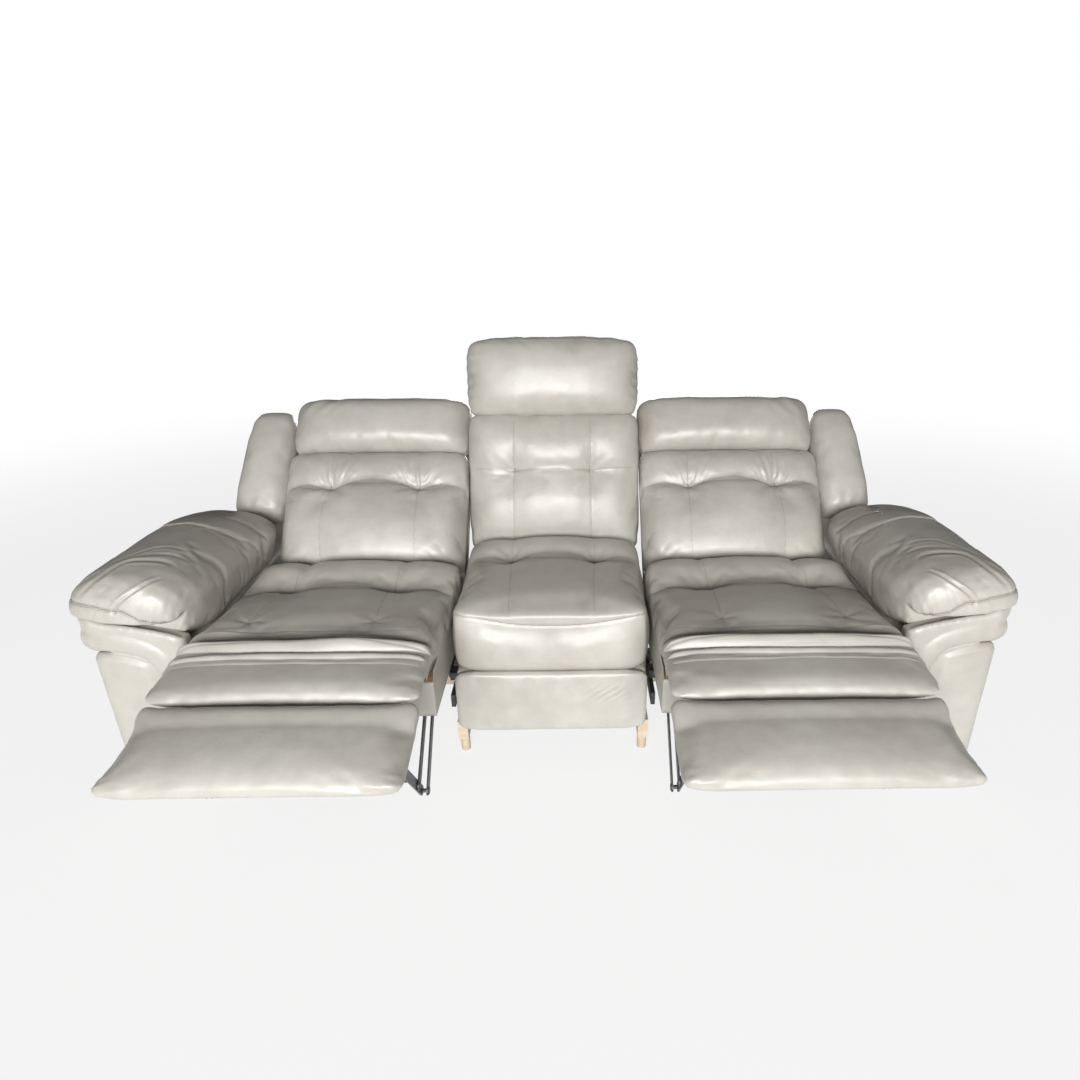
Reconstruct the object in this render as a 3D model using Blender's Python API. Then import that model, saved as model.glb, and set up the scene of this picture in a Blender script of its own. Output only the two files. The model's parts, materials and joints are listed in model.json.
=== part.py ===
# Three place reclining sofa: two wall-saver recliners either side of a fixed middle place.
# Metres, +Z up, +X to the right of someone facing the sofa, the front faces -Y.
# Pieces are drawn with both recliners closed, and the empties that carry them open them.
import math

import bmesh
import bpy
from mathutils import Matrix, Vector

# Driving dimensions of the whole sofa
MIDDLE_SEAT_WIDTH = 0.540
OUTER_SEAT_WIDTH = 0.588
SEAT_GAP = 0.005
ARM_GAP = 0.012
ARM_WIDTH = 0.230
ARM_FRONT_Y = -0.062
ARM_REAR_Y = 0.800
ARM_TOP = 0.430
ARM_BOTTOM = 0.045
FOOT_RADIUS = 0.026

# Clearances: between touching pieces, between flush faces of one piece, and past a cut
FIT_GAP = 0.0003
FACE_STEP = 0.0002
WELD = 0.00001
OVERRUN = 0.020

# Seat heights and depths, closed
SEAT_FRONT_TOP = 0.470
SEAT_REAR_TOP = 0.444
SEAT_REAR_Y = 0.508
SEAT_CROWN = 0.022
SEAT_SEAM_DROP = 0.008
OUTER_FRONT_Y = 0.040
DECK_TOP = 0.360
DECK_DEPTH = 0.060
MIDDLE_DECK_TOP = 0.285
BOARD = 0.020

# Back, closed: leans back from the vertical about its pivot
BACK_LEAN = math.radians(15.0)
BACK_PIVOT_BEHIND = 0.062
BACK_PIVOT_RISE = 0.005
BACK_FACE = 0.067
BACK_TOP = 0.728
BACK_SIDE_GAP = 0.003
HEAD_SEAM = 0.495
HEAD_SWELL = 0.062
HEAD_BEHIND = 0.088
HEAD_CROWN = 0.012
HEAD_GAP = 0.001
LUMBAR_LOW = 0.050
LUMBAR_THICK = 0.050
LUMBAR_SWELL = 0.040

# Back frame: its boards, and how far up and forward of the pivot they lie
BACK_FRAME_TOP = 0.650
BACK_FRAME_LOW = -0.020
BACK_FRAME_FRONT = -0.040
BACK_FRAME_REAR = -0.104
BACK_STILE = 0.045
BACK_CROSS = 0.060
COVER_THICK = 0.006
COVER_LOW = -0.060
COVER_HEM = 0.009

# Wing at the outer side of each reclining back
WING_LOW = 0.285
WING_TOP = 0.640
WING_WIDTH = 0.150
WING_FRONT = 0.050
WING_SEAM = -0.012
WING_ARM_FRONT = -0.078
WING_GAP = 0.002
WING_FLARE = 0.034

# Sewn edges: how far the sides draw in, and how far the corners round off
SEAT_DRAWN_IN = 0.004
SEAT_CORNER = 0.012
LUMBAR_CORNER = 0.014
HEAD_CORNER = 0.020
WING_CORNER = 0.018
PAD_DRAWN_IN = 0.003
PAD_CORNER = 0.012
TUFT_DEPTH = 0.016
TUFT_REACH = 0.032
CHANNEL_DEPTH = 0.007
CHANNEL_REACH = 0.014

# How far the recliners stand open: leaned back, and footrest out
RECLINE_SHARE = 1.0
FOOTREST_SHARE = 1.0
CARRIAGE_TRAVEL = 0.190
TILT_ANGLE = math.radians(4.0)
RECLINE_ANGLE = math.radians(22.0)
TILT_PIVOT_Y = 0.140

# Footrest, closed and open
PAD_LENGTH = 0.208
PAD_SIDE_GAP = 0.011
PAD_THICK = 0.068
PAD_CROWN = 0.010
PAD_SEAM_SHARE = 0.42
PAD_BOARD = 0.015
PAD_CLOSED_Y = -0.036
PAD_CLOSED_Z = 0.264
PAD_OPEN_Y = -0.334
PAD_OPEN_Z = 0.428
PAD_OPEN_SLOPE = math.radians(-12.0)
BRACKET_FRONT = 0.075
BRACKET_REAR = 0.040
ANGLE_FLANGE = 0.025

# Footrest linkage, on the carriage plates
LIFT_PIVOT_BACK = 0.070
LIFT_PIVOT_DOWN = 0.104
DRIVE_PIVOT_Y = 0.085
DRIVE_PIVOT_Z = 0.282
DRIVE_LENGTH = 0.205
LIFT_LENGTH = 0.205
LIFT_TAIL = 0.058
SUPPORT_RISE = 0.112
STABILISER_SHARE = 0.42
LINK_WIDTH = 0.024
LINK_STEEL = 0.004
LINK_GAP = 0.001
PIN_RADIUS = 0.005
PIN_HEAD_RADIUS = 0.009
PIN_HEAD = 0.002
PLATE_INSET = 0.032

# Flap between the seat and the footrest: above, below and under the seat's front edge
FLAP_ABOVE = 0.043
FLAP_BELOW = 0.012
FLAP_DROP = 0.045
FLAP_CROWN = 0.006
FLAP_OPEN_SLOPE = math.radians(-8.0)

# Base, tracks and carriage plates
RAIL_BOTTOM = 0.050
RAIL_HEIGHT = 0.060
RAIL_DEPTH = 0.036
FRONT_RAIL_Y = 0.320
REAR_RAIL_INSET = 0.060
TRACK_HEIGHT = 0.040
TRACK_OUTSET = 0.021
TRACK_WIDTH = 0.012
TRACK_FRONT_Y = 0.100
TRACK_REAR_Y = 0.530
GLIDE_HEIGHT = 0.015
GLIDE_LENGTH = 0.040
PLATE_LEG_Y = 0.360
PLATE_REAR_Y = 0.500
PLATE_STRAP_RISE = 0.059
PLATE_REAR_RISE = 0.099
PLATE_SLOT_SHARES = [0.30, 0.50, 0.84]
TUBE_RADIUS = 0.011
TUBE_SIDES = 12
ROUND_SIDES = 20

# Front panel below the middle seat
PANEL_LOW = 0.104
PANEL_HIGH = 0.280
PANEL_INSET = 0.017
PANEL_THICK = 0.034
PANEL_CROWN = 0.006

# Arms, with the lever's cup in the outer side
ARM_ROUND = 0.022
CUP_Y = 0.330
CUP_Z = 0.330
CUP_LENGTH = 0.110
CUP_HEIGHT = 0.060
CUP_DEPTH = 0.018
LEVER_THICK = 0.008
LEVER_GAP = 0.003
LEVER_GRIP = 0.012
LEVER_FINGERS = 0.020
ARM_PANEL_THICK = 0.036
ARM_PANEL_INNER_RISE = 0.038
ARM_PANEL_OUTER_RISE = 0.100
ARM_BAND_OUT = 0.022
ARM_BAND_HIGH = 0.100
ARM_BAND_PROUD = 0.010
ARM_PILLOW_NOSE = 0.010
ARM_PILLOW_REAR_Y = 0.515
ARM_PILLOW_HIGH = 0.192
ARM_PILLOW_WIDE_RISE = 0.100
ARM_PILLOW_OVER = 0.046
ARM_PILLOW_SIDES = 16

# Places that follow from the sizes above
outer_centre = MIDDLE_SEAT_WIDTH / 2 + SEAT_GAP + OUTER_SEAT_WIDTH / 2
arm_inner = outer_centre + OUTER_SEAT_WIDTH / 2 + ARM_GAP
arm_outer = arm_inner + ARM_WIDTH
arm_panel_front_y = ARM_FRONT_Y - ARM_PANEL_THICK
arm_panel_inner_top = ARM_TOP + ARM_PANEL_INNER_RISE
arm_panel_outer_top = ARM_TOP + ARM_PANEL_OUTER_RISE
arm_pillow_front_y = arm_panel_front_y - ARM_PILLOW_NOSE
deck_bottom = DECK_TOP - DECK_DEPTH
tilt_pivot_z = (DECK_TOP + deck_bottom) / 2
back_pivot_y = SEAT_REAR_Y + BACK_PIVOT_BEHIND
back_pivot_z = tilt_pivot_z + BACK_PIVOT_RISE
rail_top = RAIL_BOTTOM + RAIL_HEIGHT
rear_rail_y = ARM_REAR_Y - REAR_RAIL_INSET
track_top = rail_top + TRACK_HEIGHT
plate_bottom = track_top + GLIDE_HEIGHT
plate_strap_low = plate_bottom + PLATE_STRAP_RISE
plate_rear_top = plate_bottom + PLATE_REAR_RISE
plate_offset = OUTER_SEAT_WIDTH / 2 - PLATE_INSET
track_offset = plate_offset + TRACK_OUTSET
pad_width = OUTER_SEAT_WIDTH - 2 * PAD_SIDE_GAP
panel_width = MIDDLE_SEAT_WIDTH - 2 * PANEL_INSET
middle_deck_width = MIDDLE_SEAT_WIDTH - SEAT_GAP
middle_stile_x = middle_deck_width / 2 - BOARD - FIT_GAP
outer_stile_x = plate_offset - FIT_GAP
glide_starts = [PLATE_LEG_Y + BOARD / 4, PLATE_REAR_Y - BOARD / 4 - GLIDE_LENGTH]

# The flap turns just ahead of the seat's front, and its rear edge meets that front when open
flap_pivot_y = OUTER_FRONT_Y - FLAP_BELOW - FIT_GAP
flap_pivot_z = SEAT_FRONT_TOP - FLAP_DROP
flap_seam = (FLAP_ABOVE - FLAP_BELOW) / 2
flap_open = FLAP_OPEN_SLOPE - TILT_ANGLE
flap_over = (SEAT_DRAWN_IN + PAD_DRAWN_IN) * 0.85
flap_behind = (FLAP_BELOW + flap_over - flap_seam * math.sin(flap_open)) / math.cos(flap_open)
flap_reach = flap_pivot_z - PAD_CLOSED_Z - FIT_GAP

materials = {}


def clear_scene():
    for obj in list(bpy.data.objects):
        bpy.data.objects.remove(obj, do_unlink=True)


def material(name, colour, roughness, metallic):
    if name in materials:
        return materials[name]
    made = bpy.data.materials.new(name)
    made.use_nodes = True
    shader = made.node_tree.nodes["Principled BSDF"]
    shader.inputs["Base Color"].default_value = (*colour, 1.0)
    shader.inputs["Roughness"].default_value = roughness
    shader.inputs["Metallic"].default_value = metallic
    materials[name] = made
    return made


def leather(name):
    return material(name + "_leather", (0.60, 0.57, 0.52), 0.42, 0.0)


def timber(name):
    return material(name + "_timber", (0.62, 0.45, 0.28), 0.70, 0.0)


def steel(name):
    return material(name + "_steel", (0.10, 0.10, 0.11), 0.45, 0.9)


def moulded(name):
    return material(name + "_plastic", (0.05, 0.05, 0.05), 0.50, 0.0)


def empty(name, parent, at, angle=0.0, base=(0.0, 0.0, 0.0)):
    """An empty on a joint's axis; base is where its parent's drawing has its own pivot."""
    made = bpy.data.objects.new(name, None)
    bpy.context.scene.collection.objects.link(made)
    made.parent = parent
    made.location = Vector(at) - Vector(base)
    made.rotation_euler = (angle, 0.0, 0.0)
    made["pivot"] = list(at)
    return made


def add_object(name, mesh, body, finish, smooth=True):
    """Link a mesh drawn in the closed layout under the empty of its body."""
    mesh.transform(Matrix.Translation(-Vector(body["pivot"])))
    return local_object(name, mesh, body, finish, smooth)


def local_object(name, mesh, body, finish, smooth=True):
    """Link a mesh drawn about its own pivot line under the empty of its body."""
    made = bpy.data.objects.new(name, mesh)
    bpy.context.scene.collection.objects.link(made)
    made.parent = body
    mesh.materials.clear()
    mesh.materials.append(finish)
    if smooth:
        mesh.shade_smooth()
        mesh.set_sharp_from_angle(angle=math.radians(35.0))
    return made


def mesh_from(bm, name):
    """Close a bmesh into a mesh whose faces point outwards."""
    bmesh.ops.recalc_face_normals(bm, faces=bm.faces)
    if bm.calc_volume(signed=True) < 0:
        bmesh.ops.reverse_faces(bm, faces=bm.faces)
    mesh = bpy.data.meshes.new(name)
    bm.to_mesh(mesh)
    bm.free()
    return mesh


def joined(name, meshes, operation="UNION"):
    """One closed mesh from several by exact Booleans, the first being the base."""
    base = bpy.data.objects.new(name, meshes[0])
    bpy.context.scene.collection.objects.link(base)
    helpers = []
    for index, mesh in enumerate(meshes[1:]):
        helper = bpy.data.objects.new(name + "_tool_" + str(index), mesh)
        bpy.context.scene.collection.objects.link(helper)
        step = base.modifiers.new("join", "BOOLEAN")
        step.operation = operation
        step.solver = "EXACT"
        step.object = helper
        helpers.append(helper)
    bpy.context.view_layer.update()
    graph = bpy.context.evaluated_depsgraph_get()
    bm = bmesh.new()
    bm.from_mesh(base.evaluated_get(graph).data)
    for obj in [base] + helpers:
        bpy.data.objects.remove(obj, do_unlink=True)
    bmesh.ops.remove_doubles(bm, verts=bm.verts, dist=WELD)
    bmesh.ops.dissolve_degenerate(bm, edges=bm.edges, dist=WELD)
    return mesh_from(bm, name)


def cut(name, base, tools):
    return joined(name, [base] + tools, "DIFFERENCE")


def box_mesh(low, high):
    bm = bmesh.new()
    bmesh.ops.create_cube(bm, size=1.0)
    for vert in bm.verts:
        for axis in range(3):
            vert.co[axis] = (low[axis] + high[axis]) / 2 + vert.co[axis] * (high[axis] - low[axis])
    return mesh_from(bm, "box")


def prism(points, axis, start, end):
    """Extrude an outline: axis 0 takes (y, z) points along X, axis 1 takes (x, z) along Y."""
    bm = bmesh.new()
    rings = []
    for place in (start, end):
        ring = []
        for first, second in points:
            where = (place, first, second) if axis == 0 else (first, place, second)
            ring.append(bm.verts.new(where))
        rings.append(ring)
    bm.faces.new(rings[0])
    bm.faces.new(list(reversed(rings[1])))
    count = len(points)
    for index in range(count):
        after = (index + 1) % count
        bm.faces.new((rings[0][index], rings[1][index], rings[1][after], rings[0][after]))
    return mesh_from(bm, "prism")


def rod(axis, centre, radius, start, end, sides=TUBE_SIDES):
    """A round bar along X (axis 0), Y (axis 1) or Z (axis 2)."""
    bm = bmesh.new()
    rings = []
    for place in (start, end):
        ring = []
        for index in range(sides):
            angle = 2 * math.pi * (index + 0.5) / sides
            first = centre[0] + radius * math.cos(angle)
            second = centre[1] + radius * math.sin(angle)
            where = [(place, first, second), (first, place, second), (first, second, place)][axis]
            ring.append(bm.verts.new(where))
        rings.append(ring)
    bm.faces.new(rings[0])
    bm.faces.new(list(reversed(rings[1])))
    for index in range(sides):
        after = (index + 1) % sides
        bm.faces.new((rings[0][index], rings[1][index], rings[1][after], rings[0][after]))
    return mesh_from(bm, "rod")


def headed_pin(centre, start, head_start, head_end, radius=PIN_RADIUS, head=PIN_HEAD_RADIUS):
    """A pin along X with a wide head that keeps the link on it."""
    shank_end = (head_start + head_end) / 2
    shank = rod(0, centre, radius, start, shank_end)
    cap = rod(0, centre, head, head_start, head_end)
    return [shank, cap]


def arc(centre, radius, start, end, steps):
    """Points of an arc, angles in degrees."""
    points = []
    for index in range(steps + 1):
        angle = math.radians(start + (end - start) * index / steps)
        points.append((centre[0] + radius * math.cos(angle), centre[1] + radius * math.sin(angle)))
    return points


def bulge(share, power):
    return max(0.0, 1.0 - abs(share) ** power)


def soft_form(name, width, depth, top, bottom, across_shares, along_shares, place,
              power, edge, drawn, corner, crown, pressed, tufts=(), channels=()):
    """A stuffed form of two faces that meet in one seam round its edge.

    Its sides are drawn in between the corners, and what it lies on presses it flat. tufts are
    (across, along, depth, reach) and channels are (axis, share, depth, reach), in the top face.
    """
    bm = bmesh.new()

    def height(s, t, full):
        return full * (bulge(s, power) * bulge(t, power)) ** edge

    def point(s, t, side):
        x = s * width / 2 - s ** 3 * (drawn * (1 - t * t) + corner * abs(t) ** power)
        y = t * depth / 2 - t ** 3 * (drawn * (1 - s * s) + corner * abs(s) ** power)
        z = height(s, t, top) if side > 0 else -min(bottom, height(s, t, bottom * pressed))
        if side > 0:
            z += crown * bulge(s, 2) * bulge(t, 2)
            for across, along, deep, reach in tufts:
                away = math.hypot(x - across * width / 2, y - along * depth / 2)
                z -= deep * math.exp(-(away / reach) ** 2)
            for axis, share, deep, reach in channels:
                away = abs(x - share * width / 2) if axis == 0 else abs(y - share * depth / 2)
                z -= deep * math.exp(-(away / reach) ** 2) * bulge(s, 4) * bulge(t, 4)
        return place(x, y, z)

    grids = {}
    columns = len(across_shares)
    rows = len(along_shares)
    for side in (1, -1):
        for i, s in enumerate(across_shares):
            for j, t in enumerate(along_shares):
                rim = i in (0, columns - 1) or j in (0, rows - 1)
                if rim and side < 0:
                    grids[side, i, j] = grids[1, i, j]
                else:
                    grids[side, i, j] = bm.verts.new(point(s, t, side))
    for side in (1, -1):
        for i in range(columns - 1):
            for j in range(rows - 1):
                loop = [grids[side, i, j], grids[side, i + 1, j],
                        grids[side, i + 1, j + 1], grids[side, i, j + 1]]
                bm.faces.new(loop if side > 0 else list(reversed(loop)))
    return mesh_from(bm, name)


def mirrored_shares(shares):
    """Shares from the middle to the rim, continued to the other side."""
    return [-share for share in reversed(shares) if share > 0] + list(shares)


SEAT_ACROSS_SHARES = mirrored_shares([0.0, 0.25, 0.47, 0.70, 0.88, 0.97, 1.0])
SEAT_ALONG_SHARES = [-1.0, -0.97, -0.86, -0.60, -0.20, 0.10, 0.32, 0.54, 0.80, 0.95, 1.0]
HEAD_ACROSS_SHARES = mirrored_shares([0.0, 0.40, 0.72, 0.90, 0.98, 1.0])
HEAD_ALONG_SHARES = [-1.0, -0.96, -0.82, -0.45, 0.0, 0.45, 0.78, 0.94, 1.0]
HEAD_TOP_SHARES = [0.33, 0.66, 0.90, 1.0]
FLAP_ACROSS_SHARES = mirrored_shares([0.0, 0.45, 0.80, 0.95, 1.0])
FLAP_ALONG_SHARES = [-1.0, -0.90, -0.50, 0.0, 0.50, 0.90, 1.0]
PAD_ALONG_SHARES = [-1.0, -0.95, -0.75, -0.25, 0.25, 0.75, 0.95, 1.0]
WING_SHARES = mirrored_shares([0.0, 0.50, 0.85, 1.0])
PRESSED_SHARE = 1.30
TUFT_SHARE = 0.47
SEAT_TUFT_ALONG_SHARE = 0.32
LUMBAR_TUFT_ALONG_SHARE = 0.05
SEAT_TUFTS = [(side * TUFT_SHARE, SEAT_TUFT_ALONG_SHARE, TUFT_DEPTH, TUFT_REACH) for side in (-1, 1)]
SEAT_CHANNELS = [(0, -TUFT_SHARE, CHANNEL_DEPTH, CHANNEL_REACH),
                 (0, TUFT_SHARE, CHANNEL_DEPTH, CHANNEL_REACH),
                 (1, SEAT_TUFT_ALONG_SHARE, CHANNEL_DEPTH, CHANNEL_REACH)]
LUMBAR_TUFTS = [(side * TUFT_SHARE, LUMBAR_TUFT_ALONG_SHARE, TUFT_DEPTH, TUFT_REACH) for side in (-1, 1)]
LUMBAR_CHANNELS = [(0, -TUFT_SHARE, CHANNEL_DEPTH, CHANNEL_REACH),
                   (0, TUFT_SHARE, CHANNEL_DEPTH, CHANNEL_REACH),
                   (1, LUMBAR_TUFT_ALONG_SHARE, CHANNEL_DEPTH, CHANNEL_REACH)]


def seat_cushion(name, body, centre_x, width, front_y, deck_top):
    """The cushion on a deck, its top falling to the rear."""
    depth = SEAT_REAR_Y - front_y
    fall = math.atan2(SEAT_FRONT_TOP - SEAT_REAR_TOP, depth)
    seam_z = (SEAT_FRONT_TOP + SEAT_REAR_TOP) / 2 - SEAT_SEAM_DROP
    bottom = seam_z - deck_top - FIT_GAP

    def place(x, y, z):
        sloped_share = 1.0 if z > 0 else 1.0 + z / bottom
        return centre_x + x, (front_y + SEAT_REAR_Y) / 2 + y, seam_z + z - y * math.tan(fall) * sloped_share

    mesh = soft_form(name, width, depth, SEAT_SEAM_DROP, bottom, SEAT_ACROSS_SHARES,
                     SEAT_ALONG_SHARES, place, 10.0, 0.25, SEAT_DRAWN_IN, SEAT_CORNER, SEAT_CROWN,
                     PRESSED_SHARE, SEAT_TUFTS, SEAT_CHANNELS)
    return add_object(name, mesh, body, leather(name))


def back_point(x, up, forward):
    """A point of a closed back: up along it from the pivot line, forward out of its face."""
    y = back_pivot_y + up * math.sin(BACK_LEAN) - forward * math.cos(BACK_LEAN)
    z = back_pivot_z + up * math.cos(BACK_LEAN) + forward * math.sin(BACK_LEAN)
    return x, y, z


def lumbar_cushion(name, body, centre_x, width):
    depth = HEAD_SEAM - LUMBAR_LOW
    middle = (HEAD_SEAM + LUMBAR_LOW) / 2
    seam = BACK_FACE - LUMBAR_THICK
    bottom = seam - BACK_FRAME_FRONT - FIT_GAP

    def place(x, y, z):
        return back_point(centre_x + x, middle + y, seam + z)

    mesh = soft_form(name, width, depth - HEAD_GAP, LUMBAR_THICK, bottom,
                     SEAT_ACROSS_SHARES, SEAT_ALONG_SHARES, place, 6.0, 0.36, SEAT_DRAWN_IN,
                     LUMBAR_CORNER, LUMBAR_SWELL, PRESSED_SHARE, LUMBAR_TUFTS, LUMBAR_CHANNELS)
    return add_object(name, mesh, body, leather(name))


def head_cushion(name, body, centre_x, width):
    """The thick pillow that rolls over the top of the frame."""
    depth = BACK_TOP - HEAD_SEAM
    middle = (BACK_TOP + HEAD_SEAM) / 2
    seam = BACK_FACE - HEAD_SWELL
    rest = BACK_FRAME_TOP + HEAD_GAP - middle
    rest_share = rest * 2 / depth
    along_shares = [share for share in HEAD_ALONG_SHARES if share < 0] + [rest_share]
    along_shares += [rest_share + (1.0 - rest_share) * share for share in HEAD_TOP_SHARES]

    def place(x, y, z):
        if z < 0 and y <= rest:
            z = -min(-z, seam - BACK_FRAME_FRONT - FIT_GAP)
        return back_point(centre_x + x, middle + y, seam + z)

    mesh = soft_form(name, width, depth, HEAD_SWELL, HEAD_BEHIND,
                     HEAD_ACROSS_SHARES, along_shares, place, 4.0, 0.42, SEAT_DRAWN_IN,
                     HEAD_CORNER, HEAD_CROWN, 1.0)
    return add_object(name, mesh, body, leather(name))


def back_outline(low, high, front, rear):
    """Corners of a board that lies in the closed back."""
    return [back_point(0.0, low, front)[1:], back_point(0.0, high, front)[1:],
            back_point(0.0, high, rear)[1:], back_point(0.0, low, rear)[1:]]


def back_frame(name, body, centre_x, width, half, wing_side=0):
    """Timber ladder frame: two stiles and three cross rails, with arms for the wing.

    The middle back's stiles run down as legs inside the deck's side boards to the base.
    """
    stile = back_outline(BACK_FRAME_LOW, BACK_FRAME_TOP, BACK_FRAME_FRONT, BACK_FRAME_REAR)
    if not wing_side:
        knee = back_point(0.0, COVER_LOW - BOARD / 2, BACK_FRAME_REAR)[1:]
        stile = stile[:3] + [knee, (knee[0], rail_top + FIT_GAP), (stile[0][0], rail_top + FIT_GAP)]
    meshes = [prism(stile, 0, centre_x - half, centre_x - half + BACK_STILE),
              prism(stile, 0, centre_x + half - BACK_STILE, centre_x + half)]
    lean = (BACK_FRAME_FRONT - BACK_FRAME_REAR) / 4
    for low in (BACK_FRAME_LOW + BACK_CROSS, HEAD_SEAM - BACK_CROSS,
                BACK_FRAME_TOP - BACK_CROSS - lean):
        rail = back_outline(low, low + BACK_CROSS, BACK_FRAME_FRONT - lean, BACK_FRAME_REAR + lean)
        meshes.append(prism(rail, 0, centre_x - half + BACK_STILE / 2, centre_x + half - BACK_STILE / 2))
    if wing_side:
        for low in (WING_LOW + BACK_CROSS / 2, WING_TOP - BACK_CROSS * 3 / 2):
            rail = back_outline(low, low + BACK_CROSS, WING_ARM_FRONT, WING_ARM_FRONT - lean)
            inner = centre_x + wing_side * (half - BACK_STILE / 2)
            outer = centre_x + wing_side * (width / 2 + WING_WIDTH / 2)
            meshes.append(prism(rail, 0, min(inner, outer), max(inner, outer)))
    mesh = joined(name, meshes)
    return add_object(name, mesh, body, timber(name), smooth=False)


def wing_cushion(name, body, centre_x, width, side):
    """The side bolster that closes the back over the rear of the arm."""
    inner = centre_x + side * (width / 2 + WING_GAP)
    depth = WING_TOP - WING_LOW
    middle = (WING_TOP + WING_LOW) / 2

    def place(x, y, z):
        flare = WING_FLARE * (0.5 - y / depth) * (x * side / WING_WIDTH + 0.5)
        return back_point(inner + side * (WING_WIDTH / 2) + x + side * flare, middle + y, WING_SEAM + z)

    mesh = soft_form(name, WING_WIDTH, depth, WING_FRONT - WING_SEAM,
                     WING_SEAM - WING_ARM_FRONT - FIT_GAP, WING_SHARES,
                     HEAD_ALONG_SHARES, place, 4.0, 0.42, PAD_DRAWN_IN, WING_CORNER, 0.0,
                     PRESSED_SHARE)
    return add_object(name, mesh, body, leather(name))


def back_cover(name, body, centre_x, width):
    """The upholstered rear panel, with its two side hems folded forward."""
    rear = BACK_FRAME_REAR - FIT_GAP
    half = width / 2 - BACK_STILE / 4
    inner = half - COVER_THICK
    section = [(-half, rear - COVER_THICK), (half, rear - COVER_THICK), (half, rear + COVER_HEM),
               (inner, rear + COVER_HEM), (inner, rear), (-inner, rear),
               (-inner, rear + COVER_HEM), (-half, rear + COVER_HEM)]
    bm = bmesh.new()
    rings = []
    for up in (COVER_LOW, BACK_FRAME_TOP - BACK_CROSS / 4):
        rings.append([bm.verts.new(back_point(centre_x + x, up, forward)) for x, forward in section])
    bm.faces.new(rings[0])
    bm.faces.new(rings[1])
    for index in range(len(section)):
        after = (index + 1) % len(section)
        bm.faces.new((rings[0][index], rings[1][index], rings[1][after], rings[0][after]))
    mesh = mesh_from(bm, name)
    return add_object(name, mesh, body, leather(name), smooth=False)


def deck(name, body, centre_x, width, front_y, rear_y, bottom, top, board_rear, pinned):
    """The seat's timber deck frame: side boards, front and rear rails and a middle slat."""
    half = width / 2
    meshes = []
    for side in (-1, 1):
        outer = centre_x + side * half
        inner = centre_x + side * (half - BOARD)
        meshes.append(box_mesh((min(outer, inner), front_y, bottom),
                               (max(outer, inner), board_rear, top)))
    reach = half - BOARD / 2
    middle = (front_y + rear_y) / 2
    for start in (front_y + FACE_STEP, middle, rear_y - BOARD):
        low = bottom + FACE_STEP if start != middle else top - BOARD
        meshes.append(box_mesh((centre_x - reach, start, low),
                               (centre_x + reach, start + BOARD, top - FACE_STEP)))
    if pinned:
        for side in (-1, 1):
            meshes += deck_pins(centre_x, side, half)
    mesh = joined(name, meshes)
    return add_object(name, mesh, body, timber(name), smooth=False)


def plane(side, index):
    """Near and far X of one layer of the link stack; layer 0 is the carriage plate."""
    near = plate_offset - index * (LINK_STEEL + LINK_GAP)
    return side * near, side * (near + LINK_STEEL)


def deck_pins(centre_x, side, half):
    """Bolts that carry the deck on the carriage plates and the back on the deck."""
    start = centre_x + side * (half - BOARD / 2)
    inner = plate_offset - LINK_GAP
    pins = headed_pin((TILT_PIVOT_Y, tilt_pivot_z), start,
                      centre_x + side * inner, centre_x + side * (inner - PIN_HEAD))
    pins.append(rod(0, (back_pivot_y, back_pivot_z), PIN_RADIUS, start,
                    centre_x + side * (plate_offset - PIN_HEAD)))
    return pins


def back_bracket(name, body, centre_x, side):
    """Steel arm flat against the back frame's stile, hung on the deck's rear bolt."""
    boss = PIN_HEAD_RADIUS * 2
    points = arc((back_pivot_y, back_pivot_z), boss, 150.0, 330.0, 8)
    reach_low = back_point(0.0, BACK_CROSS / 2, BACK_FRAME_REAR + BACK_STILE / 4)[1:]
    reach_high = back_point(0.0, HEAD_SEAM / 2, BACK_FRAME_REAR + BACK_STILE / 4)[1:]
    front_high = back_point(0.0, HEAD_SEAM / 2, BACK_FRAME_FRONT - BACK_STILE / 4)[1:]
    front_low = back_point(0.0, BACK_CROSS, BACK_FRAME_FRONT - BACK_STILE / 4)[1:]
    points += [reach_low, reach_high, front_high, front_low]
    near, far = plane(side, 0)
    start = centre_x + near
    end = centre_x + far
    plate = prism(points, 0, min(start, end), max(start, end))
    hole = rod(0, (back_pivot_y, back_pivot_z), PIN_RADIUS + FIT_GAP,
               min(start, end) - OVERRUN, max(start, end) + OVERRUN)
    return add_object(name, cut(name, plate, [hole]), body, steel(name))


def build_back(prefix, body, centre_x, width, stile_x, wing_side):
    cushion_width = width - 2 * BACK_SIDE_GAP
    back_frame(prefix + "back_frame", body, centre_x, cushion_width, stile_x, wing_side)
    lumbar_cushion(prefix + "lumbar_cushion", body, centre_x, cushion_width)
    head_cushion(prefix + "head_cushion", body, centre_x, cushion_width)
    back_cover(prefix + "back_cover", body, centre_x, cushion_width)
    if wing_side:
        wing_cushion(prefix + "wing_cushion", body, centre_x, cushion_width, wing_side)


def direction(psi, length=1.0):
    """A step in the side view: psi is zero pointing forward and grows upwards."""
    return Vector((-math.cos(psi), math.sin(psi))) * length


UPRIGHT = math.radians(90.0)
UNDER = -UPRIGHT


def elbow_below(start, end, first, second):
    """Angles of two bars from start to end, their shared joint on the lower side."""
    span = end - start
    reach = span.length
    base = math.atan2(span.y, -span.x)
    inner = math.acos((first * first + reach * reach - second * second) / (2 * first * reach))
    joint = start + direction(base - inner, first)
    rest = end - joint
    return base - inner, math.atan2(rest.y, -rest.x)


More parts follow.
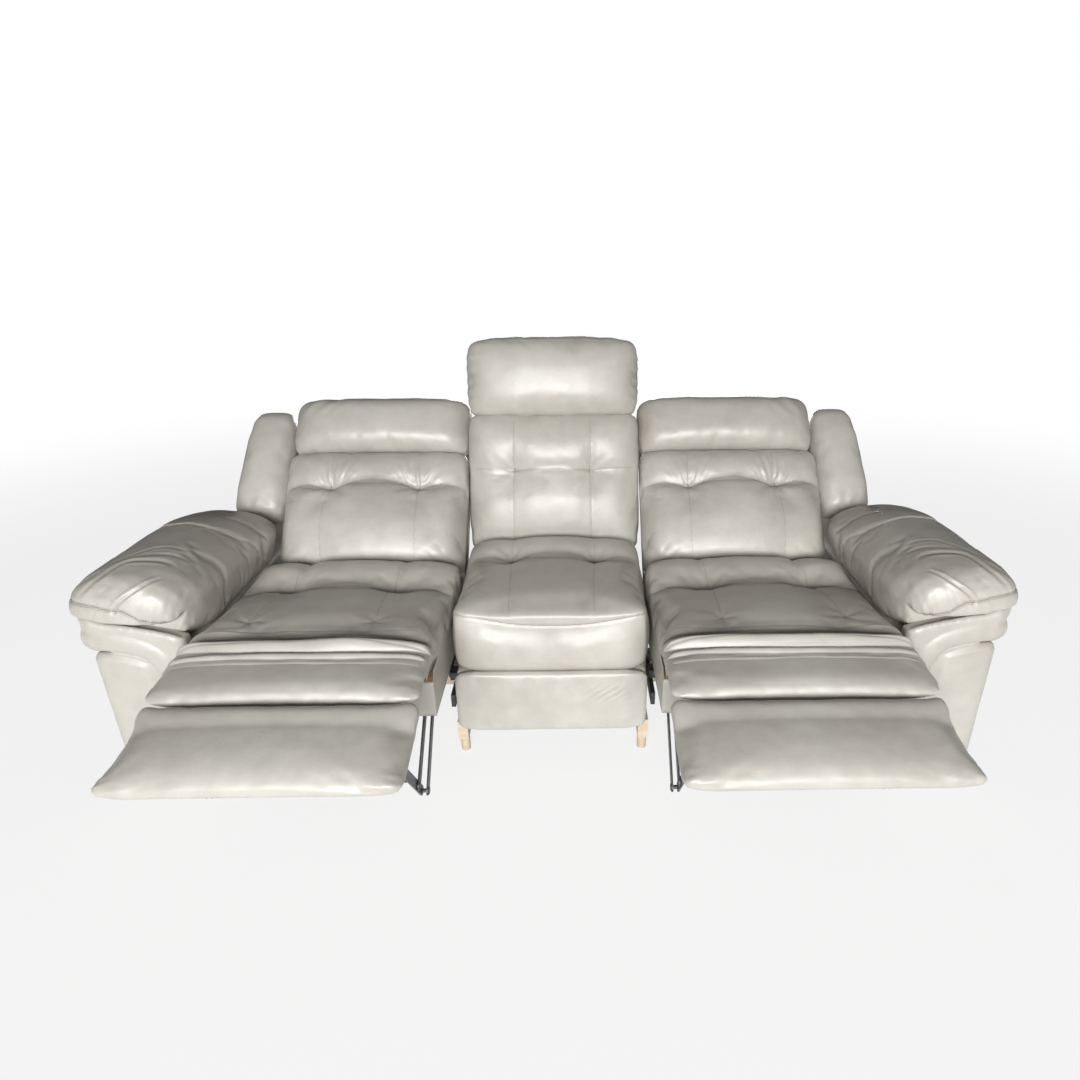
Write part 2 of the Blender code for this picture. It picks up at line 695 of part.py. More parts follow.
def footrest_angles():
    """The link angles, closed and open, that carry the pad between its two stands."""
    drive = Vector((DRIVE_PIVOT_Y, DRIVE_PIVOT_Z))
    stands = {}
    for stand, rear, top, slope in (("closed", PAD_CLOSED_Y, PAD_CLOSED_Z, UNDER),
                                    ("open", PAD_OPEN_Y + CARRIAGE_TRAVEL, PAD_OPEN_Z, PAD_OPEN_SLOPE)):
        edge = Vector((rear, top))
        lift = edge + direction(slope, LIFT_PIVOT_BACK) + direction(slope + UNDER, LIFT_PIVOT_DOWN)
        first, second = elbow_below(drive, lift, DRIVE_LENGTH, LIFT_LENGTH)
        if first > 0:
            first -= 2 * math.pi
        stands[stand] = {"drive": first, "lift": second, "pad": slope}
    tails = {}
    for stand, angles in stands.items():
        knee = drive + direction(angles["drive"], DRIVE_LENGTH)
        tails[stand] = knee - direction(angles["lift"], LIFT_TAIL)
    chord = tails["open"] - tails["closed"]
    across = Vector((-chord.y, chord.x)).normalized()
    if across.y < 0:
        across = -across
    support = (tails["open"] + tails["closed"]) / 2 + across * SUPPORT_RISE
    for stand, tail in tails.items():
        bar = tail - support
        angle = math.atan2(bar.y, -bar.x)
        stands[stand]["support"] = angle - 2 * math.pi if angle > 0 else angle
    length = (tails["open"] - support).length
    return stands, support, length


def share_between(stands, key):
    closed = stands["closed"][key]
    return closed + (stands["open"][key] - closed) * FOOTREST_SHARE


def link_outline(length, boss, tail=0.0):
    """A flat bar with round ends, lying forward from its pivot at the origin."""
    return arc((-length, 0.0), boss, 90.0, 270.0, 6) + arc((tail, 0.0), boss, -90.0, 90.0, 6)


def link_bar(side, centre_x, layer, length, tail=0.0):
    near, far = plane(side, layer)
    points = link_outline(length, LINK_WIDTH / 2, tail)
    return prism(points, 0, centre_x + min(near, far), centre_x + max(near, far))


def pin_hole(side, centre_x, layer, at=(0.0, 0.0)):
    near, far = plane(side, layer)
    return rod(0, at, PIN_RADIUS + FIT_GAP, centre_x + min(near, far) - OVERRUN,
               centre_x + max(near, far) + OVERRUN)


def link_empty(name, parent, at, angle):
    """An empty on a link's pivot, in its parent's own axes."""
    made = bpy.data.objects.new(name, None)
    bpy.context.scene.collection.objects.link(made)
    made.parent = parent
    made.location = at
    made.rotation_euler = (angle, 0.0, 0.0)
    return made


def carriage(name, body, centre_x, support):
    """Two side plates with their pivot studs, joined by two cross tubes, on four glide blocks."""
    meshes = []
    boss = PIN_HEAD_RADIUS * 2
    shoulder = boss * 0.8
    for side in (-1, 1):
        near, far = plane(side, 0)
        low, high = centre_x + min(near, far), centre_x + max(near, far)
        outline = [(DRIVE_PIVOT_Y, DRIVE_PIVOT_Z + shoulder)]
        outline += arc((DRIVE_PIVOT_Y, DRIVE_PIVOT_Z), shoulder, 120.0, 210.0, 3)
        outline += [(support[0] - boss, support[1] - boss), (support[0] + boss, plate_strap_low),
                    (PLATE_LEG_Y, plate_strap_low), (PLATE_LEG_Y, plate_bottom),
                    (PLATE_REAR_Y, plate_bottom), (PLATE_REAR_Y, plate_rear_top),
                    (TILT_PIVOT_Y + boss * 2, plate_rear_top + boss / 2)]
        outline += arc((TILT_PIVOT_Y, tilt_pivot_z), shoulder, 20.0, 160.0, 4)
        plate = prism(outline, 0, low, high)
        holes = [rod(0, (TILT_PIVOT_Y, tilt_pivot_z), PIN_RADIUS + FIT_GAP, low - OVERRUN, high + OVERRUN)]
        slot_z = (plate_strap_low + plate_rear_top) / 2
        for share in PLATE_SLOT_SHARES:
            middle = TILT_PIVOT_Y + (PLATE_REAR_Y - TILT_PIVOT_Y) * share
            slot = arc((middle + boss, slot_z), boss * 0.4, -90.0, 90.0, 5)
            slot += arc((middle - boss, slot_z), boss * 0.4, 90.0, 270.0, 5)
            holes.append(prism(slot, 0, low - OVERRUN, high + OVERRUN))
        meshes.append(cut("plate", plate, holes))
        meshes += stud(centre_x, side, (DRIVE_PIVOT_Y, DRIVE_PIVOT_Z), near, 1)
        meshes += stud(centre_x, side, (support[0], support[1]), far, -1)
        block_in = centre_x + side * (plate_offset + LINK_STEEL / 2)
        block_out = centre_x + side * (track_offset + TRACK_WIDTH / 2)
        block_top = plate_bottom + BOARD / 2
        for start in glide_starts:
            meshes.append(box_mesh((min(block_in, block_out), start, track_top + FIT_GAP),
                                   (max(block_in, block_out), start + GLIDE_LENGTH, block_top)))
    for start in glide_starts:
        at = (start + GLIDE_LENGTH / 2, (plate_bottom + plate_strap_low) / 2)
        meshes.append(rod(0, at, TUBE_RADIUS, centre_x - plate_offset - LINK_STEEL / 2,
                          centre_x + plate_offset + LINK_STEEL / 2))
    return add_object(name, joined(name, meshes), body, steel(name))


def stud(centre_x, side, at, face, inward):
    """A shouldered stud on a plate's face that one link turns on."""
    step = side * inward
    start = centre_x + face + step * LINK_STEEL / 2
    tip = centre_x + face - step * (LINK_STEEL + 2 * LINK_GAP)
    return headed_pin(at, start, tip, tip - step * PIN_HEAD)


def drive_link(name, body, centre_x, side):
    bar = link_bar(side, centre_x, 1, DRIVE_LENGTH)
    holes = [pin_hole(side, centre_x, 1), pin_hole(side, centre_x, 1, (-DRIVE_LENGTH, 0.0))]
    return local_object(name, cut(name, bar, holes), body, steel(name))


def lift_link(name, body, centre_x):
    """Both lift links, with the knee pins, the tail pins and the stabiliser tube between them."""
    meshes = []
    for side in (-1, 1):
        near, far = plane(side, 2)
        bar = link_bar(side, centre_x, 2, LIFT_LENGTH, LIFT_TAIL)
        meshes.append(cut("bar", bar, [pin_hole(side, centre_x, 2, (-LIFT_LENGTH, 0.0))]))
        start = centre_x + side * (abs(near) + LINK_STEEL / 2)
        knee_end = centre_x + plane(side, 1)[1] + side * LINK_GAP / 4
        meshes += headed_pin((0.0, 0.0), start, knee_end, knee_end + side * LINK_GAP / 2)
        tail_end = centre_x + plane(side, -1)[0] - side * LINK_GAP / 2
        meshes.append(rod(0, (LIFT_TAIL, 0.0), PIN_RADIUS, start, tail_end))
    inner = plane(1, 2)[0] + LINK_STEEL / 2
    meshes.append(rod(0, (-LIFT_LENGTH * STABILISER_SHARE, 0.0), TUBE_RADIUS,
                      centre_x - inner, centre_x + inner))
    return local_object(name, joined(name, meshes), body, steel(name))


def support_link(name, body, centre_x, side, length):
    """The outboard bar that steadies the lift link's tail; its far end carries a rivet head."""
    bar = cut("bar", link_bar(side, centre_x, -1, length), [pin_hole(side, centre_x, -1)])
    near, far = plane(side, -1)
    rivet = rod(0, (-length, 0.0), PIN_HEAD_RADIUS, centre_x + (near + far) / 2,
                centre_x + far + side * PIN_HEAD)
    return local_object(name, joined(name, [bar, rivet]), body, steel(name))


def footrest_bracket(name, body, centre_x):
    """Two drop plates on a cross angle under the footrest board, with the lift link pins."""
    meshes = []
    under = LIFT_PIVOT_DOWN - PAD_THICK - PAD_BOARD - FIT_GAP
    boss = PIN_HEAD_RADIUS * 1.3
    for side in (-1, 1):
        near, far = plane(side, 3)
        low, high = centre_x + min(near, far), centre_x + max(near, far)
        points = arc((0.0, 0.0), boss, 180.0, 360.0, 6)
        points += [(BRACKET_REAR - BOARD / 8, under - LINK_STEEL / 2),
                   (BOARD / 8 - BRACKET_FRONT, under - LINK_STEEL / 2)]
        meshes.append(prism(points, 0, low, high))
        start = centre_x + side * (abs(near) + LINK_STEEL * 0.4)
        end = centre_x + plane(side, 2)[1] + side * LINK_GAP / 4
        meshes += headed_pin((0.0, 0.0), start, end, end + side * LINK_GAP / 2)
        foot_in = centre_x + side * (abs(near) - ANGLE_FLANGE)
        foot_out = centre_x + side * (abs(near) + LINK_STEEL * 0.7)
        meshes.append(box_mesh((min(foot_in, foot_out), -BRACKET_FRONT, under - LINK_STEEL),
                               (max(foot_in, foot_out), BRACKET_REAR, under)))
    reach = plane(1, 3)[0] - ANGLE_FLANGE / 2
    meshes.append(box_mesh((centre_x - reach, -ANGLE_FLANGE / 2, under - LINK_STEEL * 0.8),
                           (centre_x + reach, ANGLE_FLANGE / 2, under - LINK_STEEL * 0.2)))
    meshes.append(box_mesh((centre_x - reach, LINK_STEEL / 8 - ANGLE_FLANGE / 2, under - ANGLE_FLANGE / 2),
                           (centre_x + reach, LINK_STEEL / 2 - ANGLE_FLANGE / 2, under - LINK_STEEL / 2)))
    return local_object(name, joined(name, meshes), body, steel(name))


def footrest_board(name, body, centre_x):
    top = LIFT_PIVOT_DOWN - PAD_THICK - FIT_GAP / 2
    rear = LIFT_PIVOT_BACK - BOARD / 2
    front = LIFT_PIVOT_BACK - PAD_LENGTH + BOARD
    half = pad_width / 2 - BOARD / 2
    mesh = box_mesh((centre_x - half, front, top - PAD_BOARD + FIT_GAP / 2), (centre_x + half, rear, top))
    return local_object(name, mesh, body, timber(name), smooth=False)


def footrest_pad(name, body, centre_x):
    """The padded footrest: flat on its board, full at its front edge."""
    bottom = LIFT_PIVOT_DOWN - PAD_THICK + FIT_GAP / 2
    middle = LIFT_PIVOT_BACK - PAD_LENGTH / 2
    seam = bottom + PAD_THICK * PAD_SEAM_SHARE

    def place(x, y, z):
        return centre_x + x, middle + y, seam + z

    mesh = soft_form(name, pad_width, PAD_LENGTH, PAD_THICK * (1 - PAD_SEAM_SHARE) - PAD_CROWN,
                     PAD_THICK * PAD_SEAM_SHARE, FLAP_ACROSS_SHARES, PAD_ALONG_SHARES, place,
                     8.0, 0.30, PAD_DRAWN_IN, PAD_CORNER, PAD_CROWN, PRESSED_SHARE)
    return local_object(name, mesh, body, leather(name))


def flap_pad(name, body, centre_x):
    """The padded flap that fills between the seat and the open footrest."""
    middle = (flap_behind - flap_reach) / 2

    def place(x, y, z):
        return centre_x + x, middle + y, flap_seam + z

    mesh = soft_form(name, pad_width, flap_behind + flap_reach, FLAP_ABOVE - flap_seam - FLAP_CROWN,
                     flap_seam + FLAP_BELOW, FLAP_ACROSS_SHARES, FLAP_ALONG_SHARES, place,
                     8.0, 0.30, PAD_DRAWN_IN, PAD_CORNER, FLAP_CROWN, 1.0)
    return local_object(name, mesh, body, leather(name))


def track(name, root, centre_x):
    """Two floor tracks welded to two cross tubes; the carriage glides on them."""
    meshes = []
    for side in (-1, 1):
        low = centre_x + side * track_offset - TRACK_WIDTH / 2
        meshes.append(box_mesh((low, TRACK_FRONT_Y, rail_top + FIT_GAP),
                               (low + TRACK_WIDTH, TRACK_REAR_Y, track_top)))
    for place in (FRONT_RAIL_Y + RAIL_DEPTH / 2, TRACK_REAR_Y - RAIL_DEPTH / 2):
        meshes.append(rod(0, (place, rail_top + FIT_GAP + TUBE_RADIUS * 1.5), TUBE_RADIUS,
                          centre_x - track_offset, centre_x + track_offset))
    return add_object(name, joined(name, meshes), root, steel(name))


def build_recliner(root, prefix, side):
    """One recliner: track, carriage, tilting seat, reclining back, flap, links and footrest."""
    centre_x = side * outer_centre
    leaned = RECLINE_SHARE
    stands, support, support_length = footrest_angles()
    track(prefix + "track", root, centre_x)
    slide = empty(prefix + "carriage_slide", root, (0.0, TRACK_FRONT_Y, track_top))
    slide.location.y -= CARRIAGE_TRAVEL * leaned
    carriage(prefix + "carriage", slide, centre_x, support)
    pivot = (0.0, TILT_PIVOT_Y, tilt_pivot_z)
    tilt = empty(prefix + "seat_tilt", slide, pivot, -TILT_ANGLE * leaned, slide["pivot"])
    deck_width = OUTER_SEAT_WIDTH - 2 * BOARD / 8
    deck(prefix + "deck", tilt, centre_x, deck_width, OUTER_FRONT_Y, SEAT_REAR_Y + BOARD / 2,
         deck_bottom, DECK_TOP, back_pivot_y + BOARD, True)
    seat_cushion(prefix + "seat_cushion", tilt, centre_x, OUTER_SEAT_WIDTH, OUTER_FRONT_Y, DECK_TOP)
    pivot = (0.0, back_pivot_y, back_pivot_z)
    back = empty(prefix + "back_recline", tilt, pivot, -RECLINE_ANGLE * leaned, tilt["pivot"])
    build_back(prefix, back, centre_x, OUTER_SEAT_WIDTH, outer_stile_x, side)
    for hand, word in ((-side, "inner"), (side, "outer")):
        back_bracket(prefix + "back_bracket_" + word, back, centre_x, hand)

    at = (0.0, DRIVE_PIVOT_Y - slide["pivot"][1], DRIVE_PIVOT_Z - slide["pivot"][2])
    drive_angle = share_between(stands, "drive")
    drive = link_empty(prefix + "drive_link_pivot", slide, at, -drive_angle)
    lift_angle = share_between(stands, "lift")
    at = (0.0, -DRIVE_LENGTH, 0.0)
    lift = link_empty(prefix + "lift_link_pivot", drive, at, drive_angle - lift_angle)
    pad_angle = share_between(stands, "pad")
    at = (0.0, -LIFT_LENGTH, 0.0)
    pad = link_empty(prefix + "footrest_pivot", lift, at, lift_angle - pad_angle)
    at = (0.0, support[0] - slide["pivot"][1], support[1] - slide["pivot"][2])
    prop = link_empty(prefix + "support_link_pivot", slide, at, -share_between(stands, "support"))
    at = (0.0, flap_pivot_y - TILT_PIVOT_Y, flap_pivot_z - tilt_pivot_z)
    flap_angle = -UPRIGHT + (flap_open + UPRIGHT) * FOOTREST_SHARE
    flap = link_empty(prefix + "flap_pivot", tilt, at, -flap_angle)
    for hand, word in ((-side, "inner"), (side, "outer")):
        drive_link(prefix + "drive_link_" + word, drive, centre_x, hand)
        support_link(prefix + "support_link_" + word, prop, centre_x, hand, support_length)
    lift_link(prefix + "lift_link", lift, centre_x)
    footrest_bracket(prefix + "footrest_bracket", pad, centre_x)
    footrest_board(prefix + "footrest_board", pad, centre_x)
    footrest_pad(prefix + "footrest_pad", pad, centre_x)
    flap_pad(prefix + "flap_pad", flap, centre_x)


def front_panel(name, body):
    """The padded panel below the middle seat's front."""
    middle_z = (PANEL_LOW + PANEL_HIGH) / 2

    def place(x, y, z):
        return x, BOARD - PANEL_THICK / 2 - FIT_GAP - z, middle_z + y

    mesh = soft_form(name, panel_width, PANEL_HIGH - PANEL_LOW, PANEL_THICK / 2 - PANEL_CROWN,
                     PANEL_THICK / 2, FLAP_ACROSS_SHARES, FLAP_ALONG_SHARES, place,
                     10.0, 0.25, PAD_DRAWN_IN, PAD_CORNER, PANEL_CROWN, PRESSED_SHARE)
    return add_object(name, mesh, body, leather(name))


def build_middle(root):
    """The fixed middle place."""
    leg_front = back_point(0.0, BACK_FRAME_LOW, BACK_FRAME_FRONT)[1]
    deck("middle_deck", root, 0.0, middle_deck_width, BOARD, SEAT_REAR_Y + BOARD,
         rail_top + FIT_GAP, MIDDLE_DECK_TOP, leg_front + BACK_STILE * 0.75, False)
    seat_cushion("middle_seat_cushion", root, 0.0, MIDDLE_SEAT_WIDTH, 0.0, MIDDLE_DECK_TOP)
    front_panel("middle_front_panel", root)
    build_back("middle_", root, 0.0, MIDDLE_SEAT_WIDTH, middle_stile_x, 0)


def base_frame(name, body):
    """Front and rear timber rails between the arms, and two runners under the middle place."""
    half = arm_inner - FIT_GAP
    meshes = []
    for place in (FRONT_RAIL_Y, rear_rail_y):
        meshes.append(box_mesh((-half, place - RAIL_DEPTH / 2, RAIL_BOTTOM),
                               (half, place + RAIL_DEPTH / 2, rail_top)))
    for side in (-1, 1):
        centre = side * (MIDDLE_SEAT_WIDTH / 2 - RAIL_DEPTH / 2)
        meshes.append(box_mesh((centre - BOARD * 0.7, BOARD * 1.5, RAIL_BOTTOM + FACE_STEP),
                               (centre + BOARD * 0.7, rear_rail_y, rail_top - FACE_STEP)))
        meshes.append(rod(2, (centre, BOARD * 1.5 + FOOT_RADIUS), FOOT_RADIUS / 2, 0.0,
                          RAIL_BOTTOM + BOARD / 2, ROUND_SIDES))
    return add_object(name, joined(name, meshes), body, timber(name), smooth=False)


def arm_body(name, body, side):
    """The upholstered arm box with the cup that the release lever sits in."""
    inner = side * arm_inner
    outer = side * arm_outer
    points = [(inner, ARM_BOTTOM), (outer, ARM_BOTTOM)]
    corner = (outer - side * ARM_ROUND, ARM_TOP - ARM_ROUND)
    for x, z in arc((0.0, 0.0), ARM_ROUND, 0.0, 90.0, 4):
        points.append((corner[0] + side * x, corner[1] + z))
    points.append((inner, ARM_TOP))
    box = prism(points, 1, ARM_FRONT_Y, ARM_REAR_Y)
    near = outer - side * CUP_DEPTH
    far = outer + side * CUP_DEPTH
    cup = box_mesh((min(near, far), CUP_Y - CUP_LENGTH / 2, CUP_Z - CUP_HEIGHT / 2),
                   (max(near, far), CUP_Y + CUP_LENGTH / 2, CUP_Z + CUP_HEIGHT / 2))
    return add_object(name, cut(name, box, [cup]), body, leather(name))


def release_lever(name, parent, side):
    """A flush latch that swings out of its cup about its lower edge."""
    at = (side * (arm_outer - LEVER_THICK), CUP_Y, CUP_Z - CUP_HEIGHT / 2 + LEVER_GAP + LEVER_THICK / 2)
    hinge = link_empty(name + "_pivot", parent, at, 0.0)
    half = CUP_LENGTH / 2 - LEVER_GAP
    height = CUP_HEIGHT - LEVER_GAP - LEVER_FINGERS - LEVER_THICK / 2
    points = [(side * x, z) for x, z in arc((0.0, 0.0), LEVER_THICK / 2, 180.0, 360.0, 5)]
    points += [(side * LEVER_THICK / 2, height - LEVER_GRIP), (side * LEVER_THICK, height),
               (side * -LEVER_THICK / 4, height), (side * -LEVER_THICK / 2, height - LEVER_GRIP)]
    paddle = prism(points, 1, -half, half)
    pin = rod(1, (0.0, 0.0), PIN_RADIUS / 2, -CUP_LENGTH / 2 + FIT_GAP, CUP_LENGTH / 2 - FIT_GAP)
    return local_object(name, joined(name, [paddle, pin]), hinge, moulded(name))


def arm_front_panel(name, body, side):
    """The shaped front board: a plain lower panel under a swept band."""
    inner = arm_inner + FIT_GAP
    outer = arm_outer
    rear = ARM_FRONT_Y - FIT_GAP
    lower = [(inner, ARM_BOTTOM), (outer - ARM_ROUND / 2, ARM_BOTTOM)]
    lower += arc((outer - ARM_ROUND, ARM_BOTTOM + ARM_ROUND), ARM_ROUND, -60.0, 0.0, 3)
    lower += [(outer, ARM_TOP), (inner, ARM_TOP)]
    band = sweep_band(inner, outer)
    front = arm_panel_front_y + ARM_BAND_PROUD
    meshes = [prism([(side * x, z) for x, z in lower], 1, front, rear),
              prism([(side * x, z) for x, z in band], 1, arm_panel_front_y, rear - FACE_STEP)]
    return add_object(name, joined(name, meshes), body, leather(name))


def sweep_band(inner, outer):
    """The band's outline: its lower edge sweeps down along the inner side, its top rises outwards."""
    steps = 8
    width = outer - inner
    top = []
    low = []
    for index in range(steps + 1):
        share = index / steps
        x = inner + width * share + ARM_BAND_OUT * share ** 3
        rise = math.sin(share * math.pi / 2)
        top.append((x, arm_panel_inner_top + (arm_panel_outer_top - arm_panel_inner_top) * rise))
        deep = ARM_BAND_HIGH * (1 - share) ** 3 + ARM_BAND_HIGH * 0.35
        low.append((x, arm_panel_inner_top - ARM_BAND_HIGH * 0.55 - deep + ARM_BAND_HIGH * 0.7 * rise))
    return low + list(reversed(top))


ARM_PILLOW_SECTION_SHARES = [
    (0.000, 0.30, 0.30), (0.010, 0.55, 0.55), (0.030, 0.78, 0.78), (0.070, 0.92, 0.92),
    (0.150, 0.99, 0.99), (0.300, 1.00, 1.00), (0.500, 0.99, 1.00), (0.700, 0.97, 0.98),
    (0.860, 0.93, 0.93), (0.950, 0.82, 0.83), (0.985, 0.62, 0.66), (1.000, 0.35, 0.42)]


def arm_pillow(name, body, side):
    """The stuffed arm top: a roll over the arm box that noses over the front panel."""
    inner = arm_inner + FIT_GAP
    outer = arm_outer + ARM_PILLOW_OVER
    centre = (inner + outer) / 2
    half = (outer - inner) / 2
    length = ARM_PILLOW_REAR_Y - arm_pillow_front_y
    widest = ARM_TOP + ARM_PILLOW_WIDE_RISE
    rows = []
    step_in = ARM_FRONT_Y + FIT_GAP
    nose_low = arm_panel_outer_top + 2 * FIT_GAP
    for along, wide, high in ARM_PILLOW_SECTION_SHARES:
        rows.append((arm_pillow_front_y + along * length, wide, high))
    middle = [row for row in rows if row[0] < step_in][-1]
    front = [(y, w, h, nose_low) for y, w, h in rows if y < step_in]
    rear = [(y, w, h, ARM_TOP + FIT_GAP) for y, w, h in rows if y >= step_in]
    step_out = step_in + FIT_GAP
    rows = front + [(step_in, middle[1], middle[2], nose_low),
                    (step_out, middle[1], middle[2], ARM_TOP + FIT_GAP)] + rear
    bm = bmesh.new()
    rings = []
    for y, wide, high, low in rows:
        ring = []
        top = widest + (ARM_PILLOW_HIGH - ARM_PILLOW_WIDE_RISE) * high
        seat = max(low, ARM_TOP + FIT_GAP)
        mid = max(widest, low)
        for index in range(ARM_PILLOW_SIDES):
            angle = 2 * math.pi * index / ARM_PILLOW_SIDES
            across = math.copysign(abs(math.cos(angle)) ** 0.75, math.cos(angle))
            up = math.sin(angle)
            x = centre + half * wide * across
            z = mid + (top - mid) * up ** 0.85 if up >= 0 else mid - (mid - seat) * abs(up) ** 0.45
            ring.append(bm.verts.new((side * x, y, z)))
        rings.append(ring)
    for first, second in zip(rings, rings[1:]):
        for index in range(ARM_PILLOW_SIDES):
            after = (index + 1) % ARM_PILLOW_SIDES
            bm.faces.new((first[index], second[index], second[after], first[after]))
    bm.faces.new(rings[0])
    bm.faces.new(rings[-1])
    return add_object(name, mesh_from(bm, name), body, leather(name))


def foot(name, body, x, y, top):
    mesh = rod(2, (x, y), FOOT_RADIUS, 0.0, top - FIT_GAP, ROUND_SIDES)
    return add_object(name, mesh, body, moulded(name))


def build_sides(root):
    """Arms, their pillows, front boards, levers, and the feet."""
    base_frame("base_frame", root)
    arm_middle = (arm_inner + arm_outer) / 2
    for prefix, side in (("left_", -1), ("right_", 1)):
        arm_body(prefix + "arm_body", root, side)
        arm_front_panel(prefix + "arm_front_panel", root, side)
        arm_pillow(prefix + "arm_pillow", root, side)
        release_lever(prefix + "release_lever", root, side)
        foot(prefix + "front_foot", root, side * arm_middle, ARM_FRONT_Y + FOOT_RADIUS * 2, ARM_BOTTOM)
        foot(prefix + "rear_foot", root, side * arm_middle, ARM_REAR_Y - FOOT_RADIUS * 2, ARM_BOTTOM)


def centre_in_depth(root):
    """Stand the sofa with its origin under the middle of its box."""
    bpy.context.view_layer.update()
    reach = []
    for obj in bpy.data.objects:
        if obj.type == "MESH":
            reach += [(obj.matrix_world @ vert.co).y for vert in obj.data.vertices]
    middle = (min(reach) + max(reach)) / 2
    root.location.y = -middle
    print("origin is", round(middle, 5), "behind the middle seat's front")


def build():
    clear_scene()
    root = empty("sofa", None, (0.0, 0.0, 0.0))
    build_sides(root)
    build_middle(root)
    for prefix, side in (("left_", -1), ("right_", 1)):
        build_recliner(root, prefix, side)
    centre_in_depth(root)


build()
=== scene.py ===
import json
import math

